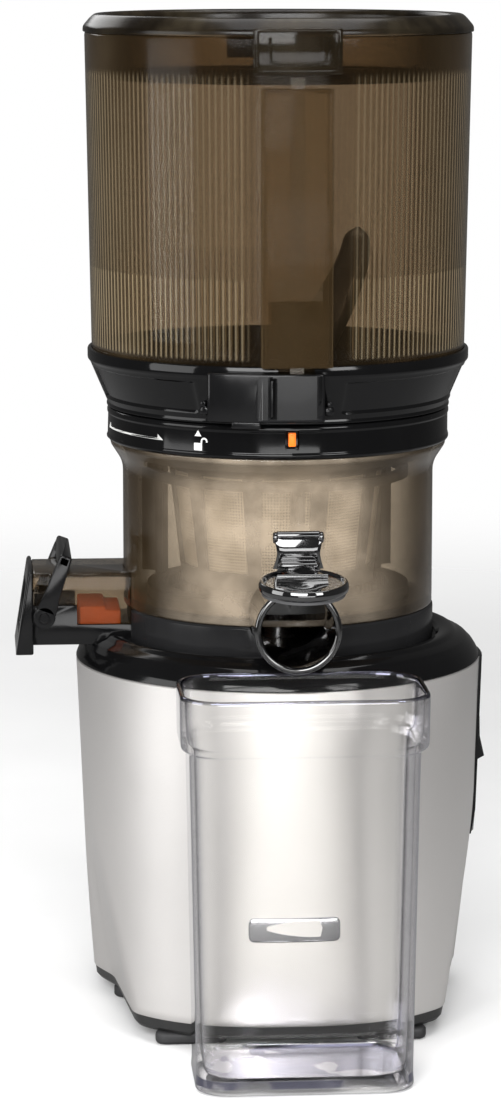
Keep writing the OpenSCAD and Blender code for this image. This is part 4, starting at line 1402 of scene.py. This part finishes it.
def jug_outline(width, depth, corner):
    """A rounded rectangle with the same number of points for every size: four quarter circles
    joined by straight sides, anticlockwise from +X. The squared cosine of twice a point's angle
    then leaves the sides' middles where they are and draws the diagonals in a little."""
    a = np.radians(np.linspace(0, 90, CORNER_POINTS))
    quarter = np.column_stack([np.cos(a), np.sin(a)]) * corner
    half = np.array([width / 2 - corner, depth / 2 - corner])
    outline = []
    for degrees, sign in ((0, [1, 1]), (90, [-1, 1]), (180, [-1, -1]), (270, [1, -1])):
        c, s = math.cos(math.radians(degrees)), math.sin(math.radians(degrees))
        outline.append(quarter @ np.array([[c, s], [-s, c]]) + half * sign)
    outline = np.concatenate(outline)
    bulge = 0.012
    angle = np.arctan2(outline[:, 1], outline[:, 0])
    return outline * (1 + bulge * np.cos(angle * 2) ** 2)[:, None] / (1 + bulge)


def make_jug():
    """Clear jug: outside up from a recessed base, over a collar step and a rounded lip, and down
    inside to a thick floor with a low dome."""
    # width, depth and corner radius of each outline, and its height
    outer = [
        (86, 50, 11, 1.6), (90, 53.5, 12.5, 0.6), (92.4, 55.6, 13.6, 0.0), (94.4, 57.4, 14, 0.4),
        (95.4, 58.2, 14, 1.6), (94.6, 57.6, 14, 4.2), (94.4, 57.4, 14, 8), (95.2, 58, 14, 30),
        (97, 59.3, 15, 80), (98.8, 60.4, 16, 130), (99.4, 60.8, 16, 144), (99.6, 60.9, 16, 147.2),
        (100.4, 61.1, 16, 148.2), (105.4, 63, 17.4, 149.1), (106.8, 63.6, 18, 150.2),
        (107, 63.7, 18, 154), (107.4, 63.9, 18, 170.6), (107.2, 63.8, 18, 172.2),
        (106.2, 63.0, 17.6, JUG_RIM),
    ]
    inner = [
        (103.6, 60.4, 16.4, JUG_RIM), (102.6, 59.4, 16, 172.2), (102.2, 59.0, 16, 170),
        (101.6, 58.5, 15.8, 154), (100.4, 57.8, 15, 151.6), (96.2, 56.4, 14.4, 150.4),
        (94.6, 55.7, 14, 148), (93.8, 55.2, 13.6, 130), (92, 54.2, 13, 80), (90, 52.8, 12, 30),
        (88.8, 51.8, 11.4, 10), (86, 49.4, 11, 6.4), (80, 44, 10, 5.4),
    ]
    rows = []
    for width, depth, corner, z in outer + inner:
        outline = jug_outline(width, depth, corner)
        rows.append(np.column_stack([outline, np.full(len(outline), z)]))
    under = [rows[0] * [share, share, 1] + [0, 0, 0.2] for share in (0, 0.4)]
    dome = [rows[-1] * [share, share, 1] + [0, 0, rise] for share, rise in ((0.3, 0.5), (0, 0.6))]
    grid = np.stack([*under, *rows, *dome])
    grid[..., 1] += JUG_Y
    jug = mesh_object("jug_skin", [skin(grid)], 50)
    smooth = jug.modifiers.new("smooth", "SUBSURF")
    smooth.levels = smooth.render_levels = 1
    settle(jug)
    jug.data.shade_smooth()
    return jug


# ---------- operators ----------


def sizes_of(context):
    """The counts and sizes that a user has set."""
    return context.scene.juicer_sizes


class JUICER_OT_finishes(bpy.types.Operator):
    """Make the materials, and give each kept frame part its own"""

    bl_idname = "juicer.finishes"
    bl_label = "Finishes"

    def execute(self, context):
        make_finishes(context.scene.juicer_colours, sizes_of(context).flutes)
        for node, name in CAD_FINISH.items():
            part = frame["nodes"][node]
            part.data.materials.clear()
            part.data.materials.append(finishes[name])
        return {"FINISHED"}


class JUICER_OT_base(bpy.types.Operator):
    """Build the base's shell, deck, underside, feet, badge, switch and cord gland"""

    bl_idname = "juicer.base"
    bl_label = "Base"

    def execute(self, context):
        sizes = sizes_of(context)
        finish(make_base_shell(sizes), finishes["silver"], "base_shell")
        finish(make_top_cover(), finishes["gloss"], "top_cover")
        finish(make_bottom_plate(sizes), finishes["satin"], "bottom_plate")
        finish(make_feet(), finishes["rubber"], "feet")
        finish(make_badge(sizes), finishes["badge"], "badge_plate")
        finish(make_gland(), finishes["rubber"], "cord_gland")
        finish(eased("switch_bezel", width=0.5), finishes["gloss"], "switch_bezel")
        finish(eased("rocker_switch", width=0.7), finishes["trim"], "rocker_switch")
        return {"FINISHED"}


class JUICER_OT_bowl(bpy.types.Operator):
    """Build the bowl, its rings, marks, spout and cap"""

    bl_idname = "juicer.bowl"
    bl_label = "Bowl"

    def execute(self, context):
        finish(make_bowl(), finishes["bowl"], "bowl")
        finish(eased("bowl_foot_ring", width=0.6), finishes["ring"], "bowl_foot_ring")
        finish(make_locking_ring(), finishes["gloss"], "locking_ring")
        finish(make_marks(), finishes["ink"], "locking_ring", replaces=False)
        finish(make_indicator(), finishes["indicator"], "lock_indicator")
        finish(make_spout(), finishes["cap"], "juice_spout")
        finish(make_cap(), finishes["cap"], "juice_cap")
        return {"FINISHED"}


class JUICER_OT_pulp_outlet(bpy.types.Operator):
    """Build the pulp duct, its cover, end plate, plug and lever"""

    bl_idname = "juicer.pulp_outlet"
    bl_label = "Pulp outlet"

    def execute(self, context):
        finish(eased("pulp_duct", width=0.8), finishes["gloss"], "pulp_duct")
        finish(eased("pulp_duct_cover", width=0.8), finishes["duct"], "pulp_duct_cover")
        finish(eased("pulp_end_plate", width=1.0), finishes["gloss"], "pulp_end_plate")
        finish(eased("pulp_plug", width=1.4), finishes["orange"], "pulp_plug")
        finish(make_pulp_lever(), finishes["gloss"], "pulp_lever")
        return {"FINISHED"}


class JUICER_OT_auger(bpy.types.Operator):
    """Build the auger and its cutting wing"""

    bl_idname = "juicer.auger"
    bl_label = "Auger"

    def execute(self, context):
        finish(make_auger(), finishes["auger"], "auger")
        finish(make_wing(), finishes["auger"], "cutting_wing")
        return {"FINISHED"}


class JUICER_OT_hopper(bpy.types.Operator):
    """Build the hopper, its base, the interlock housing and channel, and the lid"""

    bl_idname = "juicer.hopper"
    bl_label = "Hopper and lid"

    def execute(self, context):
        finish(make_hopper(sizes_of(context)), finishes["hopper"], "hopper")
        finish(make_channel(), finishes["channel"], "rod_channel")
        finish(make_hopper_base(), finishes["gloss"], "hopper_base")
        finish(make_front_block(), finishes["trim"], "front_block")
        finish(make_lid(), finishes["lid"], "lid")
        finish(make_lid_tab(), finishes["tab"], "lid_tab")
        finish(eased("lid_hinge_bracket", width=0.8), finishes["hopper"], "lid_hinge_bracket")
        return {"FINISHED"}


class JUICER_OT_jug(bpy.types.Operator):
    """Build the clear jug"""

    bl_idname = "juicer.jug"
    bl_label = "Jug"

    def execute(self, context):
        finish(make_jug(), finishes["jug"], "jug")
        return {"FINISHED"}


def add_area(name, place, aim, size, watts):
    """A rectangular soft light at a place in metres from the drive axis, turned to its aim."""
    data = bpy.data.lights.new(name, "AREA")
    data.shape = "RECTANGLE"
    data.size, data.size_y = size
    data.energy = watts
    lamp = in_scene(name, data)
    lamp.location = Vector(place) + Vector(AXIS)
    toward = Vector(aim) - Vector(place)
    lamp.rotation_euler = toward.to_track_quat("-Z", "Y").to_euler()


class JUICER_OT_stage(bpy.types.Operator):
    """Lay the floor, and set the sky, the lights and the camera"""

    bl_idname = "juicer.stage"
    bl_label = "Stage"

    def execute(self, context):
        view = context.scene.juicer_stage
        context.scene.view_settings.view_transform = "Standard"
        self.lay_floor()
        self.set_sky(context.scene)
        add_area("key", (-0.5, -1.85, 1.0), (0, 0, 0.2), (1.4, 0.9), 50)
        add_area("front_low", (0.1, -1.95, 0.2), (0, 0, 0.1), (1.4, 0.3), 8)
        add_area("strip_left", (-1.35, -0.5, 0.5), (0, 0, 0.3), (0.8, 0.8), 8.5)
        add_area("fill_right", (0.95, -1.4, 0.9), (0, 0, 0.2), (0.5, 0.7), 12)
        add_area("top", (0.1, 0.0, 1.6), (0, 0, 0.2), (1.1, 1.1), 14)
        add_area("rim_back", (-0.6, 1.2, 1.0), (0, 0, 0.35), (0.9, 0.6), 4)
        camera = in_scene("camera", bpy.data.cameras.new("camera"))
        camera.data.lens = view.lens
        camera.data.sensor_width = 36
        camera.data.clip_end = 50
        a, out = view.azimuth, view.distance
        place = Vector((math.sin(a) * out, -math.cos(a) * out, view.height))
        camera.location = Vector(AXIS) + place
        turn = Matrix.Rotation(a + view.yaw, 3, "Z")
        tilt = Matrix.Rotation(math.pi / 2 - view.pitch, 3, "X")
        camera.rotation_euler = (turn @ tilt).to_euler()
        context.scene.camera = camera
        return {"FINISHED"}

    def lay_floor(self):
        """A wide pale disc, a hair under the feet, that fades out far behind the object and is
        darker to everything but the camera, so that it adds no glare."""
        gap = 0.4
        a = np.radians(np.linspace(0, 360, 128, endpoint=False))
        r = np.array([1, 1200, 6000])[:, None]
        points, faces = skin(np.stack([r * np.cos(a), r * np.sin(a), 0 * r * a - gap], -1))
        mesh = bpy.data.meshes.new("floor")
        mesh.from_pydata((points * MM + AXIS).tolist(), [], faces)
        floor = in_scene("floor", mesh)
        m = Finish("floor_paper")
        fibre = m.noise(8.0, 4.0)
        x, y, _ = m.axes()
        seen = m.node("ShaderNodeLightPath", {}, [], "Is Camera Ray")
        pale = m.blend(fibre, (0.93, 0.93, 0.93), (0.97, 0.97, 0.97))
        m.set("Base Color", m.blend(seen, (0.36, 0.36, 0.36), pale))
        m.set("Roughness", m.band(fibre, 0.3, 0.7, 0.7, 0.8))
        m.set("Alpha", m.band((x * x + y * y).math("SQRT"), 0.5, 1.5, 1.0, 0.0))
        floor.data.materials.append(m.material)

    def set_sky(self, scene):
        """Pale surroundings behind the object, and dimmer ones for what is lit and mirrored."""
        world = bpy.data.worlds.new("studio")
        world.use_nodes = True
        scene.world = world
        nodes, links = world.node_tree.nodes, world.node_tree.links
        nodes.clear()
        path = nodes.new("ShaderNodeLightPath")
        seen = nodes.new("ShaderNodeBackground")
        lit = nodes.new("ShaderNodeBackground")
        seen.inputs["Color"].default_value = (1, 1, 1, 1)
        seen.inputs["Strength"].default_value = 1.0
        lit.inputs["Color"].default_value = (1.0, 0.99, 0.98, 1)
        lit.inputs["Strength"].default_value = 0.1
        mixed = nodes.new("ShaderNodeMixShader")
        out = nodes.new("ShaderNodeOutputWorld")
        links.new(path.outputs["Is Camera Ray"], mixed.inputs[0])
        links.new(lit.outputs[0], mixed.inputs[1])
        links.new(seen.outputs[0], mixed.inputs[2])
        links.new(mixed.outputs[0], out.inputs[0])


STEPS = (
    JUICER_OT_finishes,
    JUICER_OT_base,
    JUICER_OT_bowl,
    JUICER_OT_pulp_outlet,
    JUICER_OT_auger,
    JUICER_OT_hopper,
    JUICER_OT_jug,
    JUICER_OT_stage,
)
GROUPS = {"juicer_sizes": JuicerSizes, "juicer_colours": JuicerColours, "juicer_stage": JuicerStage}


class JUICER_PT_panel(bpy.types.Panel):
    """Sizes, colours and build steps in the sidebar"""

    bl_label = "Juicer"
    bl_space_type = "VIEW_3D"
    bl_region_type = "UI"
    bl_category = "Juicer"

    def draw(self, context):
        for group in GROUPS:
            column = self.layout.column(align=True)
            settings = getattr(context.scene, group)
            for name in settings.bl_rna.properties.keys():
                if name not in ("rna_type", "name"):
                    column.prop(settings, name)
        for step in STEPS:
            self.layout.operator(step.bl_idname)


def register():
    for cls in (*GROUPS.values(), *STEPS, JUICER_PT_panel):
        bpy.utils.register_class(cls)
    for name, group in GROUPS.items():
        setattr(bpy.types.Scene, name, PointerProperty(type=group))


def unregister():
    for name in GROUPS:
        delattr(bpy.types.Scene, name)
    for cls in reversed((*GROUPS.values(), *STEPS, JUICER_PT_panel)):
        bpy.utils.unregister_class(cls)


def main():
    """Builds every piece in order."""
    register()
    bpy.ops.juicer.finishes()
    bpy.ops.juicer.base()
    bpy.ops.juicer.bowl()
    bpy.ops.juicer.pulp_outlet()
    bpy.ops.juicer.auger()
    bpy.ops.juicer.hopper()
    bpy.ops.juicer.jug()
    bpy.ops.juicer.stage()


if __name__ == "__main__":
    main()
